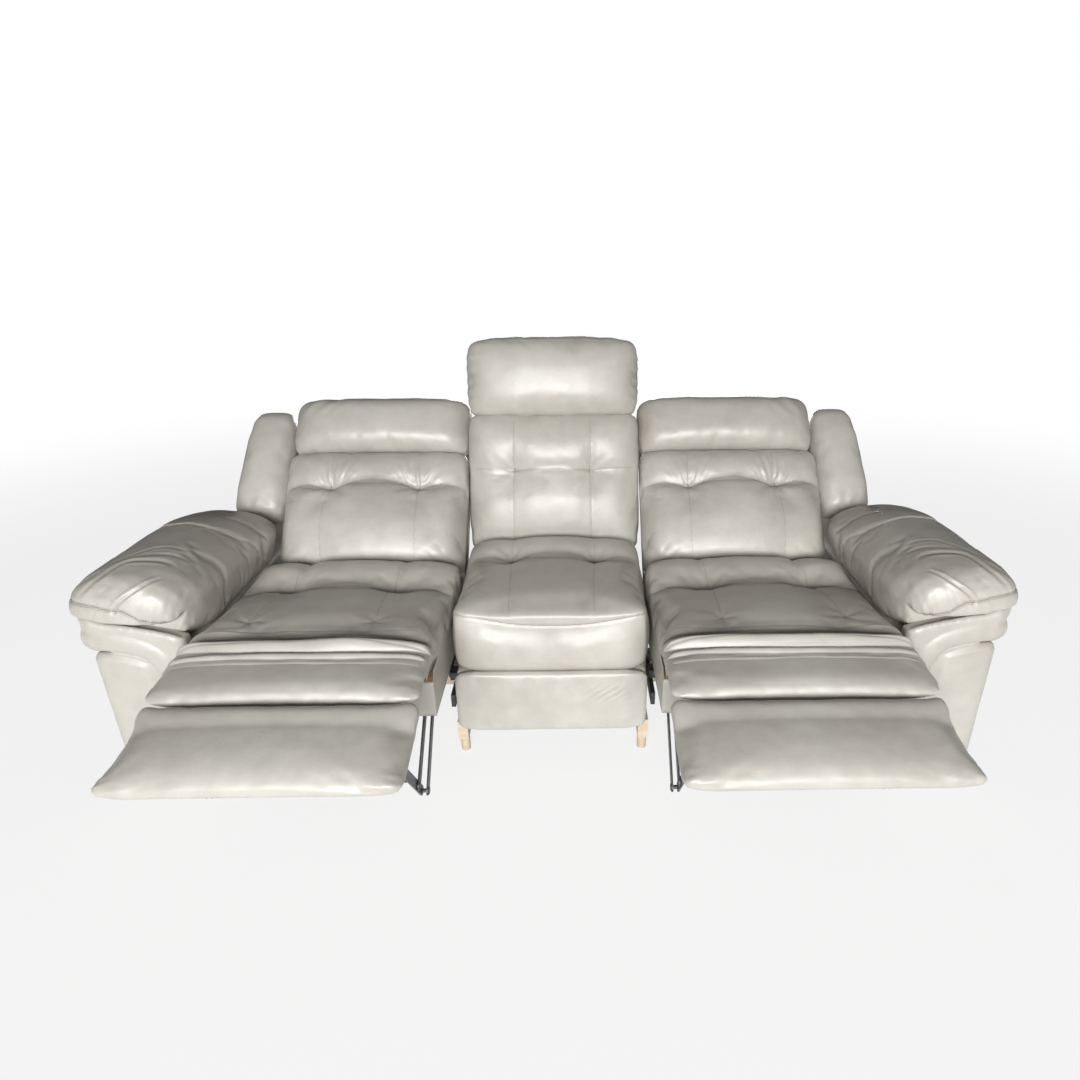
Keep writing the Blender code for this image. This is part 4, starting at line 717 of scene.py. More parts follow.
def closeForm(form, limit=0.03):
    obj = form["obj"]
    push = np.clip(form["push"], -limit, limit)
    setPoints(obj.data, form["co"] + form["normal"] * push[:, None])
    # the painted shade goes into a mesh attribute that darkens the leather colour
    attribute = obj.data.attributes.get("crease") or obj.data.attributes.new("crease", "FLOAT", "POINT")
    attribute.data.foreach_set("value", np.clip(form["crease"], 0, 1).astype(np.float32))
    obj.data.materials.clear()
    obj.data.materials.append(greyLeather)
    obj.data.shade_smooth()
    form["tree"] = treeOf(obj)


def landOn(form, line):  # a line on the finished surface, with the way out of it at each point
    hits = [form["tree"].find_nearest(Vector(p)) for p in line]
    places, ways = (np.array([np.array(hit[i]) for hit in hits]) for i in (0, 1))
    for _ in range(3):
        ways[1:-1] = (ways[:-2] + ways[1:-1] + ways[2:]) / 3
    return places, ways / np.linalg.norm(ways, axis=1)[:, None]


def evenly(places, ways, step):
    lengths = np.concatenate([[0], np.cumsum(np.linalg.norm(np.diff(places, axis=0), axis=1))])
    at = np.arange(step / 2, lengths[-1], step)
    pick = lambda values: np.stack([np.interp(at, lengths, values[:, k]) for k in range(3)], 1)
    return pick(places), pick(ways)


def axesAlong(places, ways):  # along a line, across it, and out of the surface, at each of its points
    tangents = np.gradient(places, axis=0)
    tangents /= np.maximum(np.linalg.norm(tangents, axis=1)[:, None], 1e-9)
    for t, n in zip(tangents, ways):
        across = np.cross(t, n)
        across /= np.linalg.norm(across)
        yield t, across, np.cross(across, t)


def ringOf(centre, across, out, radius, scale, sides=6):
    turns = [2 * math.pi * k / sides for k in range(sides)]
    return [centre + (across * math.cos(a) + out * math.sin(a)) * radius * scale for a in turns]


def tubeFaces(base, rings, sides=6):  # the faces of a closed tube of rings, from its first vertex on
    faces = []
    for i in range(rings - 1):
        for k in range(sides):
            a, b = base + i * sides + k, base + i * sides + (k + 1) % sides
            faces.append((a, b, b + sides, a + sides))
    faces.append(tuple(base + k for k in reversed(range(sides))))
    faces.append(tuple(base + (rings - 1) * sides + k for k in range(sides)))
    return faces


stitch = {"step": 0.0065, "length": 0.0046, "radius": 0.00055, "lift": 0.55, "dip": 0.9,
          "profile": [(-0.5, 0.35), (-0.36, 1.0), (0.36, 1.0), (0.5, 0.35)]}


def sewnRow(name, form, line, body, aside=0.0, material=None, look=stitch):  # a row of separate stitches
    places, ways = evenly(*landOn(form, line), look["step"])
    verts, faces = [], []
    for p, (t, across, n) in zip(places, axesAlong(places, ways)):
        hit = form["tree"].find_nearest(Vector(p + across * aside))
        centre = np.array(hit[0]) + n * look["radius"] * look["lift"]
        faces += tubeFaces(len(verts), len(look["profile"]))
        for along, wide in look["profile"]:
            dip = look["dip"] if abs(along) == 0.5 else 0
            ring = centre + t * along * look["length"] - n * look["radius"] * dip
            verts += ringOf(ring, across, n, look["radius"], wide)
    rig.ride(objectFrom(name, verts, faces, material or paleThread), body)


def seamCord(name, form, line, body, radius=0.0011, sink=0.35, material=None):  # the folded edge in a seam
    places, ways = landOn(form, line)
    verts = []
    for i, (p, (t, across, n)) in enumerate(zip(places, axesAlong(places, ways))):
        thin = min(1.0, (i + 1) / 3, (len(places) - i) / 3)
        verts += ringOf(p - n * radius * sink, across, n, radius, thin)
    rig.ride(objectFrom(name, verts, tubeFaces(0, len(places)), material or darkThread), body)


def fitForm(obj, node, look):  # stretches a form to its CAD solid's extents, and what it stands proud of them
    box = frameOf(node, look["lean"])
    co = pointsOf(obj.data)
    fitted = []
    for key, values in (("x", co[:, 0]), ("b", co @ box["up"]), ("c", co @ box["out"])):
        less, more = look.get("grow", {}).get(key, (0, 0))
        low, high = box[key][0] - less, box[key][1] + more
        fitted.append(low + (values - values.min()) / (values.max() - values.min()) * (high - low))
    x, b, c = (values[:, None] for values in fitted)
    setPoints(obj.data, x * np.array([1, 0, 0]) + b * box["up"] + c * box["out"])


def refine(obj):
    obj.modifiers.new("finer", "SUBSURF").levels = 1
    bake(obj)


def mirrored(obj, name):
    copy = obj.copy()
    copy.data = obj.data.copy()
    copy.name = name
    copy.data.name = name
    scene.collection.objects.link(copy)
    co = pointsOf(copy.data)
    co[:, 0] *= -1
    setPoints(copy.data, co)
    copy.data.flip_normals()
    copy.data.update()
    return copy


def flip(lines):
    return [[(1 - u, v) for u, v in line] for line in lines]


def sided(name, side="right"):
    return name if name.startswith("middle") else side + "_" + name


def settle(name, side, form, look):  # what every padded piece declares
    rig.ride(form["obj"], sided(look["body"], side) if look["body"] != "base" else "base")
    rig.replaces(form["obj"], sided(name, side))
    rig.slot(form["obj"], "leather")
    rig.padded(form["obj"], fill=look["fill"])


def finishBoth(name, raw, finisher, seed, leftSeed):  # a middle piece, or the right one and its mirror image
    if not name.startswith("middle"):
        left = mirrored(raw, "left_" + name + "_leather")
    raw.name = sided(name) + "_leather"
    finished[sided(name)] = finisher(name, "right", raw, seed)
    if not name.startswith("middle"):
        finished["left_" + name] = finisher(name, "left", left, leftSeed)


# cushions: lines and tufts are in shares of a piece's width and height

middleSeat = {
    "body": "base", "lean": 0, "cap": 0.012, "slack": 0.008, "fill": 0.8, "even": 14,
    "grow": {"x": (0.0015, 0.0015), "b": (0.006, 0.012), "c": (0.014, 0.006)},
    "lines": [[(0.0, 0.735), (0.12, 0.750), (0.26, 0.73), (0.37, 0.750), (0.5, 0.757), (0.62, 0.748),
               (0.735, 0.725), (0.87, 0.745), (1.0, 0.73)],
              [(0.27, 0.98), (0.265, 0.73), (0.29, 0.35), (0.30, 0.03)],
              [(0.73, 0.98), (0.735, 0.725), (0.72, 0.35), (0.715, 0.03)]],
    "tufts": [(0.262, 0.73), (0.735, 0.725)], "deep": 0.0045, "shallow": 0.001,
    "rear": {"high": 0.019, "crown": 0.025, "v": (0.66, 0.98), "z": (0.34, 0.46)}, "belly": (0.0, 0.72, 0.004),
    "rim": [(-0.267, -0.160, 0.466), (-0.255, -0.168, 0.463), (-0.190, -0.178, 0.451), (-0.102, -0.180, 0.431),
            (0.003, -0.181, 0.424), (0.103, -0.180, 0.429), (0.193, -0.178, 0.446), (0.258, -0.169, 0.458),
            (0.267, -0.160, 0.462)],
    "rimSeam": {"depth": 0.0022, "width": 0.004, "pucker": 0.0004, "step": 0.03, "reach": 0.02},
    "front": (0.25, 0.7), "boxing": {"proud": 0.003, "low": 0.285, "tall": 0.15, "blunt": 0.8}}


def middleSeatDetails(form, look, side, seed):
    rear, boxing = look["rear"], look["boxing"]
    crown = 1 - (2 * form["u"] - 1) ** 2
    raised = rear["high"] + rear["crown"] * crown
    form["co"][:, 2] += raised * smooth(form["v"], *rear["v"]) * smooth(form["co"][:, 2], *rear["z"])
    addBulge(form, *look["belly"])
    front = smooth(-form["normal"][:, 1], *look["front"])
    form["rim"] = onSkin(form, look["rim"])
    height = np.clip((form["co"][:, 2] - boxing["low"]) / boxing["tall"], 0, 1)
    form["push"] += boxing["proud"] * np.sin(math.pi * height) ** boxing["blunt"] * front
    addSeam(form, form["rim"], seed=seed, **look["rimSeam"])


middleLumbar = {
    "body": "base", "lean": 75, "cap": 0.014, "slack": 0.012, "fill": 0.75, "even": 8,
    "grow": {"x": (0.0135, 0.0135), "b": (0, 0.014), "c": (0, 0.005)},
    "lines": [[(0.0, 0.63), (0.12, 0.628), (0.262, 0.615), (0.5, 0.632), (0.722, 0.615), (0.86, 0.63),
               (1.0, 0.63)],
              [(0.262, 0.02), (0.262, 0.615), (0.266, 0.98)],
              [(0.722, 0.02), (0.722, 0.615), (0.722, 0.98)]],
    "tufts": [(0.262, 0.615), (0.722, 0.615)], "pit": 0.5, "deep": 0.005, "shallow": 0.001,
    "belly": {"low": 0.0, "high": 0.62, "height": 0.013, "peak": 0.42, "blunt": 1.3},
    "top": (0.62, 1.04, 0.007),
    "widen": {"by": 0.004, "sides": (0.80, 1.0), "below": 0.65, "over": 0.5, "limit": 0.2781},
    "crinkle": {"high": 0.0007, "u": (0.20, 0.13), "v": (0.60, 0.05), "beats": (20, 130)}}


def middleLumbarDetails(form, look, side, seed):
    widen, crinkle, u, v = look["widen"], look["crinkle"], form["u"], form["v"]
    addBulge(form, **look["belly"])
    addBulge(form, *look["top"])
    wide = widen["by"] * smooth(np.abs(2 * u - 1), *widen["sides"]) * smooth(widen["below"] - v, 0, widen["over"])
    form["co"][:, 0] = np.clip(form["co"][:, 0] + wide * np.sign(u - 0.5), -widen["limit"], widen["limit"])
    where = bell(u, *crinkle["u"]) * bell(v, *crinkle["v"])
    across, along = crinkle["beats"]
    form["push"] += crinkle["high"] * where * np.sin(v * along + u * across) * form["facing"]


middleHead = {
    "body": "base", "lean": 75, "cap": 0.012, "slack": 0.01, "fill": 0.8, "even": 6,
    "grow": {"x": (0.0135, 0.0115), "b": (0.018, 0.024), "c": (0, 0.007)}, "crown": (0.0, 1.0, 0.010, 0.40),
    "edges": {"high": 0.0012, "wide": 0.05, "beats": 42, "size": 0.04, "below": (0.95, 0.8)},
    "gathers": (0.0007, 0.08, 0.06, 24, 3)}


def middleHeadDetails(form, look, side, seed):
    edges = look["edges"]
    addBulge(form, *look["crown"])
    where = bell(form["u"], 0, edges["wide"]) + bell(form["u"], 1, edges["wide"])
    waves = wave(form, form["v"] * edges["beats"], edges["size"], seed)
    form["push"] += edges["high"] * where * waves * smooth(form["v"], *edges["below"])
    addGathers(form, *look["gathers"], seed)


seat = {
    "body": "seat", "lean": 0, "cap": 0.012, "slack": 0.012, "fill": 0.65, "even": 3,
    "grow": {"x": (0.007, 0.0125), "b": (0, 0.022), "c": (0.006, 0.004)},
    "lines": [[(0.0, 0.70), (0.13, 0.735), (0.285, 0.705), (0.40, 0.735), (0.53, 0.745), (0.66, 0.735),
               (0.775, 0.705), (0.90, 0.73), (1.0, 0.70)],
              [(0.285, 0.98), (0.285, 0.705), (0.275, 0.45), (0.262, 0.235)],
              [(0.775, 0.98), (0.775, 0.705), (0.782, 0.45), (0.79, 0.235)]],
    "tufts": [(0.285, 0.705), (0.775, 0.705)], "deep": 0.008, "shallow": 0.002,
    "rear": {"high": (0.024, 0.030), "v": ((0.60, 0.98), (0.80, 1.06)), "z": (0.36, 0.44), "back": 0.016,
             "backFrom": (0.90, 1.05)},
    "belly": (0.15, 0.71, 0.005), "top": (0.74, 1.05, 0.003), "frontTufts": [(0.262, 0.20), (0.79, 0.20)],
    "frontTuft": {"depth": 0.005, "size": 0.018, "rays": 5, "rayPush": 0.0016, "reach": 0.06},
    "loose": {"high": 0.0026, "v": (0.42, 0.15), "beats": (3, 8)}}


def seatDetails(form, look, side, seed):
    rear, loose, v = look["rear"], look["loose"], form["v"]
    raised = rear["high"][0] * smooth(v, *rear["v"][0]) + rear["high"][1] * smooth(v, *rear["v"][1])
    upper = smooth(form["co"][:, 2], *rear["z"])
    form["co"][:, 1] += rear["back"] * smooth(v, *rear["backFrom"]) * upper
    form["co"][:, 2] += raised * upper
    addBulge(form, *look["belly"])
    addBulge(form, *look["top"])
    for i, (u, height) in enumerate(look["frontTufts"]):
        place = onePlace(form, (u if side == "right" else 1 - u, height))
        addTuft(form, place, seed=seed + 3 * i, **look["frontTuft"])
    where = smooth(v, *loose["v"]) * form["facing"]
    form["push"] += loose["high"] * where * drift(form, *loose["beats"], seed + 2, form["outer"])


lumbar = {
    "body": "back", "lean": 53, "cap": 0.016, "slack": 0.015, "fill": 0.65, "even": 4,
    "grow": {"x": (0.0027, 0.013), "b": (0.004, 0.010), "c": (0, 0.004)},
    "lines": [[(0.0, 0.70), (0.12, 0.73), (0.255, 0.695), (0.36, 0.735), (0.50, 0.755), (0.63, 0.735),
               (0.735, 0.70), (0.87, 0.73), (1.0, 0.70)],
              [(0.255, 0.02), (0.25, 0.35), (0.255, 0.695), (0.26, 0.97)],
              [(0.735, 0.02), (0.74, 0.35), (0.735, 0.70), (0.735, 0.97)]],
    "tufts": [(0.255, 0.695), (0.735, 0.70)], "deep": 0.014, "shallow": 0.004,
    "belly": (0.0, 0.72, 0.029, 0.52), "top": (0.74, 1.02, 0.005), "foot": {"in": 0.016, "below": 0.20},
    "fan": {"high": 0.0011, "u": (0.27, 0.74), "wide": 0.10, "from": (0.70, 0.78), "to": (0.86, 0.98),
            "root": 0.60, "least": 0.05, "beats": 34, "size": 0.06},
    "corner": {"high": 0.0014, "at": (0.02, 0.18), "size": (0.14, 0.14), "lean": (0.8, 0.5), "beats": 75,
               "wander": 0.05}}


def addCorner(form, corner, u, v, seed, mask=1.0):  # slanting ripples round one place of the face
    slant = (u * corner["lean"][0] + v * corner["lean"][1]) * corner["beats"]
    where = spot(u, v, corner["at"], corner["size"]) * mask
    form["push"] += corner["high"] * where * wave(form, slant, corner["wander"], seed)


def lumbarDetails(form, look, side, seed):
    foot, fan, u, v = look["foot"], look["fan"], form["outer"], form["v"]
    addBulge(form, *look["belly"])
    form["push"] -= foot["in"] * smooth(foot["below"] - v, 0, foot["below"]) * form["facing"]
    addBulge(form, *look["top"])
    for at in fan["u"]:
        where = bell(u, at, fan["wide"]) * smooth(v, *fan["from"]) * (1 - smooth(v, *fan["to"]))
        spread = (u - at) / np.maximum(v - fan["root"], fan["least"])
        waves = wave(form, spread * fan["beats"], fan["size"], seed, 1)
        form["push"] += fan["high"] * where * waves * form["facing"]
    addCorner(form, look["corner"], u, v, seed, form["facing"])


head = {
    "body": "back", "lean": 53, "cap": 0.012, "slack": 0.012, "fill": 0.6, "even": 8,
    "grow": {"x": (0.0027, 0.007), "b": (0.014, -0.022), "c": (0, 0.008)}, "crown": (0.0, 0.9, 0.016, 0.36),
    "gathers": (0.0011, 0.22, 0.12, 26, 4),
    "corner": {"high": 0.0013, "at": (0.84, 0.70), "size": (0.12, 0.2), "lean": (0.8, 0.3), "beats": 70,
               "wander": 0.07}}


def headDetails(form, look, side, seed):
    addBulge(form, *look["crown"])
    addGathers(form, *look["gathers"], seed)
    addCorner(form, look["corner"], form["outer"], form["v"], seed + 4, form["facing"])


wing = {
    "body": "back", "lean": 53, "cap": 0.010, "slack": 0.01, "fill": 0.7, "even": 6,
    "grow": {"x": (0.0035, 0), "b": (0.018, 0.026), "c": (0, 0.006)}, "crown": (0.0, 1.0, 0.005, 0.35, 0.2),
    "low": {"high": 0.0010, "v": (0.12, 0.06), "beats": 26, "size": 0.03}}


def wingDetails(form, look, side, seed):
    low = look["low"]
    addBulge(form, *look["crown"])
    waves = wave(form, form["u"] * low["beats"], low["size"], seed)
    form["push"] += low["high"] * bell(form["v"], *low["v"]) * waves * form["facing"]


armPillow = {
    "body": "base", "lean": 0, "cap": 0.014, "slack": 0.012, "fill": 0.6, "grow": {"x": (0.010, 0.012)},
    "cross": [(0.889, 0.20, 0.455), (0.887, 0.163, 0.474), (0.883, 0.096, 0.553), (0.934, 0.069, 0.610),
              (1.002, 0.079, 0.620), (1.058, 0.077, 0.617), (1.115, 0.080, 0.585), (1.145, 0.085, 0.53),
              (1.125, 0.09, 0.46)],
    "lower": [(0.888, -0.322, 0.452), (0.908, -0.322, 0.474), (0.940, -0.322, 0.505), (0.985, -0.322, 0.538),
              (1.050, -0.322, 0.560), (1.115, -0.295, 0.566), (1.14, -0.24, 0.558), (1.15, -0.10, 0.53),
              (1.15, 0.08, 0.505)],
    "dart": [(0.924, -0.222, 0.600), (0.958, -0.271, 0.594), (1.002, -0.289, 0.560), (1.020, -0.292, 0.530)],
    "arc": [(0.918, -0.172, 0.604), (0.940, -0.160, 0.613), (0.991, -0.163, 0.619), (1.036, -0.177, 0.619),
            (1.062, -0.236, 0.611), (1.085, -0.268, 0.594), (1.105, -0.275, 0.563)],
    "folds": [[(0.925, -0.088, 0.607), (0.988, -0.088, 0.620), (1.026, -0.117, 0.621), (1.07, -0.17, 0.612)],
              [(0.905, -0.125, 0.595), (0.96, -0.125, 0.618), (1.01, -0.135, 0.620)],
              [(1.075, -0.20, 0.605), (1.11, -0.235, 0.585), (1.125, -0.25, 0.55)]],
    # the last number of each seam and crease is the strength of its painted shade
    "crossSeam": {"depth": 0.0025, "width": 0.006, "pucker": 0.0006, "step": 0.03, "reach": 0.03, "mark": 0.15},
    "lowerSeam": {"depth": 0.003, "width": 0.006, "pucker": 0.0006, "step": 0.03, "reach": 0.03, "mark": 0.25},
    "dartCrease": {"depth": 0.0040, "width": 0.0032, "rim": 0.8, "mark": 0.35},
    "arcCrease": {"depth": 0.0022, "width": 0.006, "rim": 0.8, "mark": 0.15},
    "foldCrease": {"depth": 0.0009, "width": 0.005, "rim": 0.8, "mark": 0.08},
    "hemAt": [0.88, 0.92, 0.98, 1.05, 1.10, 1.15], "hemDrop": [0.066, 0.058, 0.048, 0.035, 0.018, 0.006],
    "panelDrop": [0.008, 0.012, 0.020, 0.025, 0.014, 0.006],
    "hang": {"z": (0.575, 0.47), "y": (0.236, 0.264), "out": 0.016},
    "rear": {"down": 0.020, "y": (0.08, 0.33), "z": (0.45, 0.60)},
    "belly": {"in": 0.018, "more": 0.015, "moreFrom": (0.06, 0.24), "z": (0.54, 0.06), "x": (1.02, 0.16),
              "front": (0.34, 0.06), "rear": (0.30, 0.2)},
    "reach": {"down": 0.032, "x": (0.95, 0.05), "z": (0.53, 0.06), "y": (-0.24, -0.12)},
    "gather": {"high": 0.0009, "above": 0.02, "x": (1.02, 0.08), "y": (0.14, 0.24), "lean": (0.8, 0.5),
               "beats": 420, "wander": (0.04, 2.5), "reach": 0.035},
    "wrinkles": {"amount": 0.0006, "size": 0.08, "stretch": (1, 2, 1)}}


def below(value, limit, width):
    return smooth(limit - value, 0, width)


def pillowDetails(form, look, side, seed):
    sx = 1 if side == "right" else -1
    co = form["co"]
    x, y, z = co[:, 0] * sx, co[:, 1].copy(), co[:, 2].copy()
    hang, rear, belly, reach, gather = (look[key] for key in ("hang", "rear", "belly", "reach", "gather"))
    hem = smooth(z, *hang["z"]) * smooth(-y, *hang["y"])  # hangs down over the panel's front
    co[:, 2] -= np.interp(x, look["hemAt"], look["hemDrop"]) * hem
    co[:, 1] -= hang["out"] * hem
    co[:, 2] -= rear["down"] * smooth(y, *rear["y"]) * smooth(z, *rear["z"])
    swell = bell(z, *belly["z"]) * below(x, *belly["x"]) * below(y, *belly["front"])
    swell = swell * smooth(y + belly["rear"][0], 0, belly["rear"][1])  # towards the seat
    co[:, 0] -= sx * (belly["in"] + belly["more"] * smooth(y, *belly["moreFrom"])) * swell
    co[:, 2] -= reach["down"] * below(x, *reach["x"]) * below(z, *reach["z"]) * smooth(y, *reach["y"])
    form["tree"] = treeOf(form["obj"], co)
    place = lambda points: onSkin(form, [(sx * px, py, pz) for px, py, pz in points])
    cross, lower, dart, arc = (place(look[key]) for key in ("cross", "lower", "dart", "arc"))
    addSeam(form, cross, seed=seed, **look["crossSeam"])
    addSeam(form, lower, seed=seed + 1, **look["lowerSeam"])
    d = lineDistance(co, lower)[0]
    lowerX, lowerZ = zip(*((px, pz) for px, py, pz in look["lower"][:5]))
    above = smooth(z - np.interp(x, lowerX, lowerZ), 0, gather["above"])
    inner = below(x, *gather["x"]) * smooth(-y, *gather["y"])
    size, wander = gather["wander"]
    waves = wave(form, (x * gather["lean"][0] + z * gather["lean"][1]) * gather["beats"], size, seed + 6, wander)
    form["push"] += gather["high"] * waves * np.exp(-d / gather["reach"]) * above * inner
    addCrease(form, dart, seed=seed, **look["dartCrease"])
    addCrease(form, arc, seed=seed + 2, **look["arcCrease"])
    for i, points in enumerate(look["folds"]):
        addCrease(form, place(points), seed=seed + 3 + i, **look["foldCrease"])
    addWrinkles(form, seed=seed + 8, **look["wrinkles"])
    form["sewn"] = (cross, lower)


flap = {
    "body": "flap", "lean": 8, "cap": 0.010, "slack": 0.01, "fill": 0.5, "even": 8,
    "grow": {"x": (0.016, 0.019), "c": (-0.009, 0)},
    "ends": {"high": 0.0022, "wide": 0.10, "beats": (9, 7), "wander": 0.5},
    "broad": {"high": 0.0015, "beats": (3, 2)},
    "hem": {"high": 0.0007, "v": (0.10, 0.0), "beats": (40, 2), "sag": 0.008}}


def flapDetails(form, look, side, seed):
    ends, broad, hem, u, v = look["ends"], look["broad"], look["hem"], form["u"], form["v"]
    where = bell(u, 0, ends["wide"]) + bell(1 - u, 0, ends["wide"])
    p = np.stack([u * ends["beats"][0], v * ends["beats"][1], u * 0], 1)
    crumple = ripple(p + ends["wander"] * ripple(p, seed)[:, None], seed + 1)
    form["push"] += ends["high"] * where * crumple * form["facing"]
    slow = ripple(np.stack([u * broad["beats"][0] + v, v * broad["beats"][1], u * 0], 1), seed + 5)
    form["push"] += broad["high"] * slow * form["facing"]
    low = smooth(v, *hem["v"])
    form["push"] += hem["high"] * low * drift(form, *hem["beats"], seed + 6)
    form["co"][:, 2] -= hem["sag"] * np.sin(math.pi * np.clip(u, 0, 1)) * low


footrest = {
    "body": "footrest", "lean": 12, "cap": 0.012, "slack": 0.004, "fill": 0.75, "even": 8,
    "grow": {"x": (0.018, 0.014), "b": (-0.010, 0.012), "c": (-0.014, 0.010)},
    "rear": {"up": 0.016, "v": (0.72, 1.0), "w": (0.1, 0.7)},
    "corner": {"sides": (0.84, 1.0), "v": (0.84, 1.0), "move": (0.006, 0.009, 0.004)},
    "lift": {"up": 0.024, "below": 0.30}, "outer": {"out": 0.015, "from": (0.7, 1.0), "below": 0.6},
    "crown": (0.1, 1.0, 0.004, 0.6, 0.06),
    "ends": {"high": 0.0010, "wide": 0.04, "v": (0.35, 0.05), "beats": 60, "size": 0.03},
    "broad": {"high": 0.0005, "beats": (5, 2)}}


def footrestDetails(form, look, side, seed):
    box, co, u, v = form["box"], form["co"], form["u"], form["v"]
    rear, corner, lift, outer, ends, broad = (look[k] for k in ("rear", "corner", "lift", "outer", "ends", "broad"))
    w = (co @ box["out"] - box["c"][0]) / (box["c"][1] - box["c"][0])
    co[:, 2] += rear["up"] * smooth(v, *rear["v"]) * smooth(w, *rear["w"])
    tip = smooth(np.abs(2 * u - 1), *corner["sides"]) * smooth(v, *corner["v"])
    co[:, 0] += corner["move"][0] * tip * np.sign(u - 0.5)
    co[:, 1] += corner["move"][1] * tip
    co[:, 2] += corner["move"][2] * tip
    raised = lift["up"] * np.clip(1 - v / lift["below"], 0, 1) ** 2 * np.clip(1 - w, 0, 1)
    co += raised[:, None] * box["out"]
    sx = 1 if side == "right" else -1
    front = below(v, outer["below"], outer["below"])
    co[:, 0] += sx * outer["out"] * smooth(form["outer"], *outer["from"]) * front
    addBulge(form, *look["crown"])
    where = bell(u, 0, ends["wide"]) + bell(1 - u, 0, ends["wide"])
    waves = wave(form, v * ends["beats"], ends["size"], seed)
    form["push"] += ends["high"] * where * smooth(v, *ends["v"]) * waves
    form["push"] += broad["high"] * drift(form, *broad["beats"], seed + 6) * form["facing"]


cushions = {"middle_seat_cushion": (middleSeat, middleSeatDetails),
            "middle_lumbar_cushion": (middleLumbar, middleLumbarDetails),
            "middle_head_cushion": (middleHead, middleHeadDetails), "seat_cushion": (seat, seatDetails),
            "lumbar_cushion": (lumbar, lumbarDetails), "head_cushion": (head, headDetails),
            "wing_cushion": (wing, wingDetails), "arm_pillow": (armPillow, pillowDetails),
            "flap_pad": (flap, flapDetails), "footrest_pad": (footrest, footrestDetails)}
clothing = {"voxel": 0.008, "softening": 4, "frames": 20, "quality": 4, "mass": 0.3, "stiffness": 12, "shear": 5,
            "bending": 0.4, "pressure": 4, "heldBack": -0.35, "heldNear": 0.006}
# the seams on the faces carry a little painted shade along their grooves
faceSeam = {"depth": 0.0008, "width": 0.003, "pucker": 0.0003, "step": 0.03, "reach": 0.012, "mark": 0.12,
            "swell": 0.0003}
faceTuft = {"depth": 0.010, "rayPush": 0.0022}
faceWrinkles = {"amount": 0.0005, "size": 0.06}

startPoints, forms, finished = {}, {}, {}
for name, (look, details) in cushions.items():
    forms[name] = startForm("raw_" + name, sided(name), clothing["voxel"], clothing["softening"])
    startPoints[name] = pointsOf(forms[name].data)
    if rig.quick():
        continue
    box = frameOf(sided(name), look["lean"])
    held = (normalsOf(forms[name].data) @ box["out"]) < clothing["heldBack"]
    for line in look.get("lines", [])[:1]:
        sewn = onFace({"box": box, "tree": treeOf(forms[name])}, line)
        held |= lineDistance(startPoints[name], sewn)[0] < clothing["heldNear"]
    addCloth(forms[name], held, look["slack"])
print("cushion forms started")

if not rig.quick():
    for step in range(1, clothing["frames"] + 1):
        scene.frame_set(step)
    for name, (look, details) in cushions.items():
        bake(forms[name])
        moved = pointsOf(forms[name].data) - startPoints[name]
        length = np.linalg.norm(moved, axis=1)
        print("  ", name, "moved up to", round(float(length.max()), 4), "mean", round(float(length.mean()), 4))
        capped = look["cap"] * np.tanh(length / look["cap"])
        moved *= (capped / np.maximum(length, 1e-9))[:, None]
        setPoints(forms[name].data, startPoints[name] + moved)
    scene.frame_set(1)
print("cushions filled")

for name, (look, details) in cushions.items():
    if "even" in look:
        eased(forms[name], look["even"])
        bake(forms[name])
    fitForm(forms[name], sided(name), look)
    refine(forms[name])


def dress(name, side, obj, seed):
    look, details = cushions[name]
    node = sided(name, side)
    form = openForm(obj, node, look["lean"], side)
    lines, tufts = look.get("lines", []), look.get("tufts", [])
    if side == "left":
        lines, tufts = flip(lines), flip([tufts])[0]
    drawn = [onFace(form, line) for line in lines]
    spots = [onePlace(form, at) for at in tufts]
    for i, line in enumerate(drawn):
        if i == 0:
            addPull(form, line, spots, look["deep"], look["shallow"])
        else:
            addSeam(form, line, seed=seed + i, **faceSeam)
    for i, place in enumerate(spots):
        sizes = {key: value * look.get("pit", 1) for key, value in faceTuft.items()}
        addTuft(form, place, seed=seed * 1.7 + i, **sizes)
    details(form, look, side, seed)
    addWrinkles(form, mask=form["facing"], seed=seed, **faceWrinkles)
    closeForm(form)
    body = look["body"] if look["body"] == "base" else side + "_" + look["body"]
    for i, line in enumerate(drawn):
        light = name == "seat_cushion" and i == 0
        sink, tone = (0.5, paleThread) if light else (0.8, None)
        seamCord(f"{node}_seam{i}", form, line, body, 0.0007, sink, tone)
    settle(name, side, form, look)
    return form


for index, (name, raw) in enumerate(forms.items()):
    finishBoth(name, raw, dress, index + 1, index + 21)
rimForm = finished["middle_seat_cushion"]
seamCord("middle_seat_rimSeam", rimForm, rimForm["rim"], "base", 0.0009, 0.7)
stitchAside = 0.0042
for side in ("left", "right"):
    form = finished[side + "_arm_pillow"]
    cross, lower = form["sewn"]
    seamCord(side + "_pillow_crossSeam", form, cross, "base", 0.0009, 0.4, paleThread)
    seamCord(side + "_pillow_lowerSeam", form, lower, "base", 0.0009)
    for k, aside in enumerate((-stitchAside, stitchAside)):
        sewnRow(f"{side}_pillow_crossStitches{k}", form, cross, "base", aside)
        sewnRow(f"{side}_pillow_lowerStitches{k}", form, lower, "base", aside, darkThread)
print("cushions dressed")

# upholstered blocks: arms, panels and backs

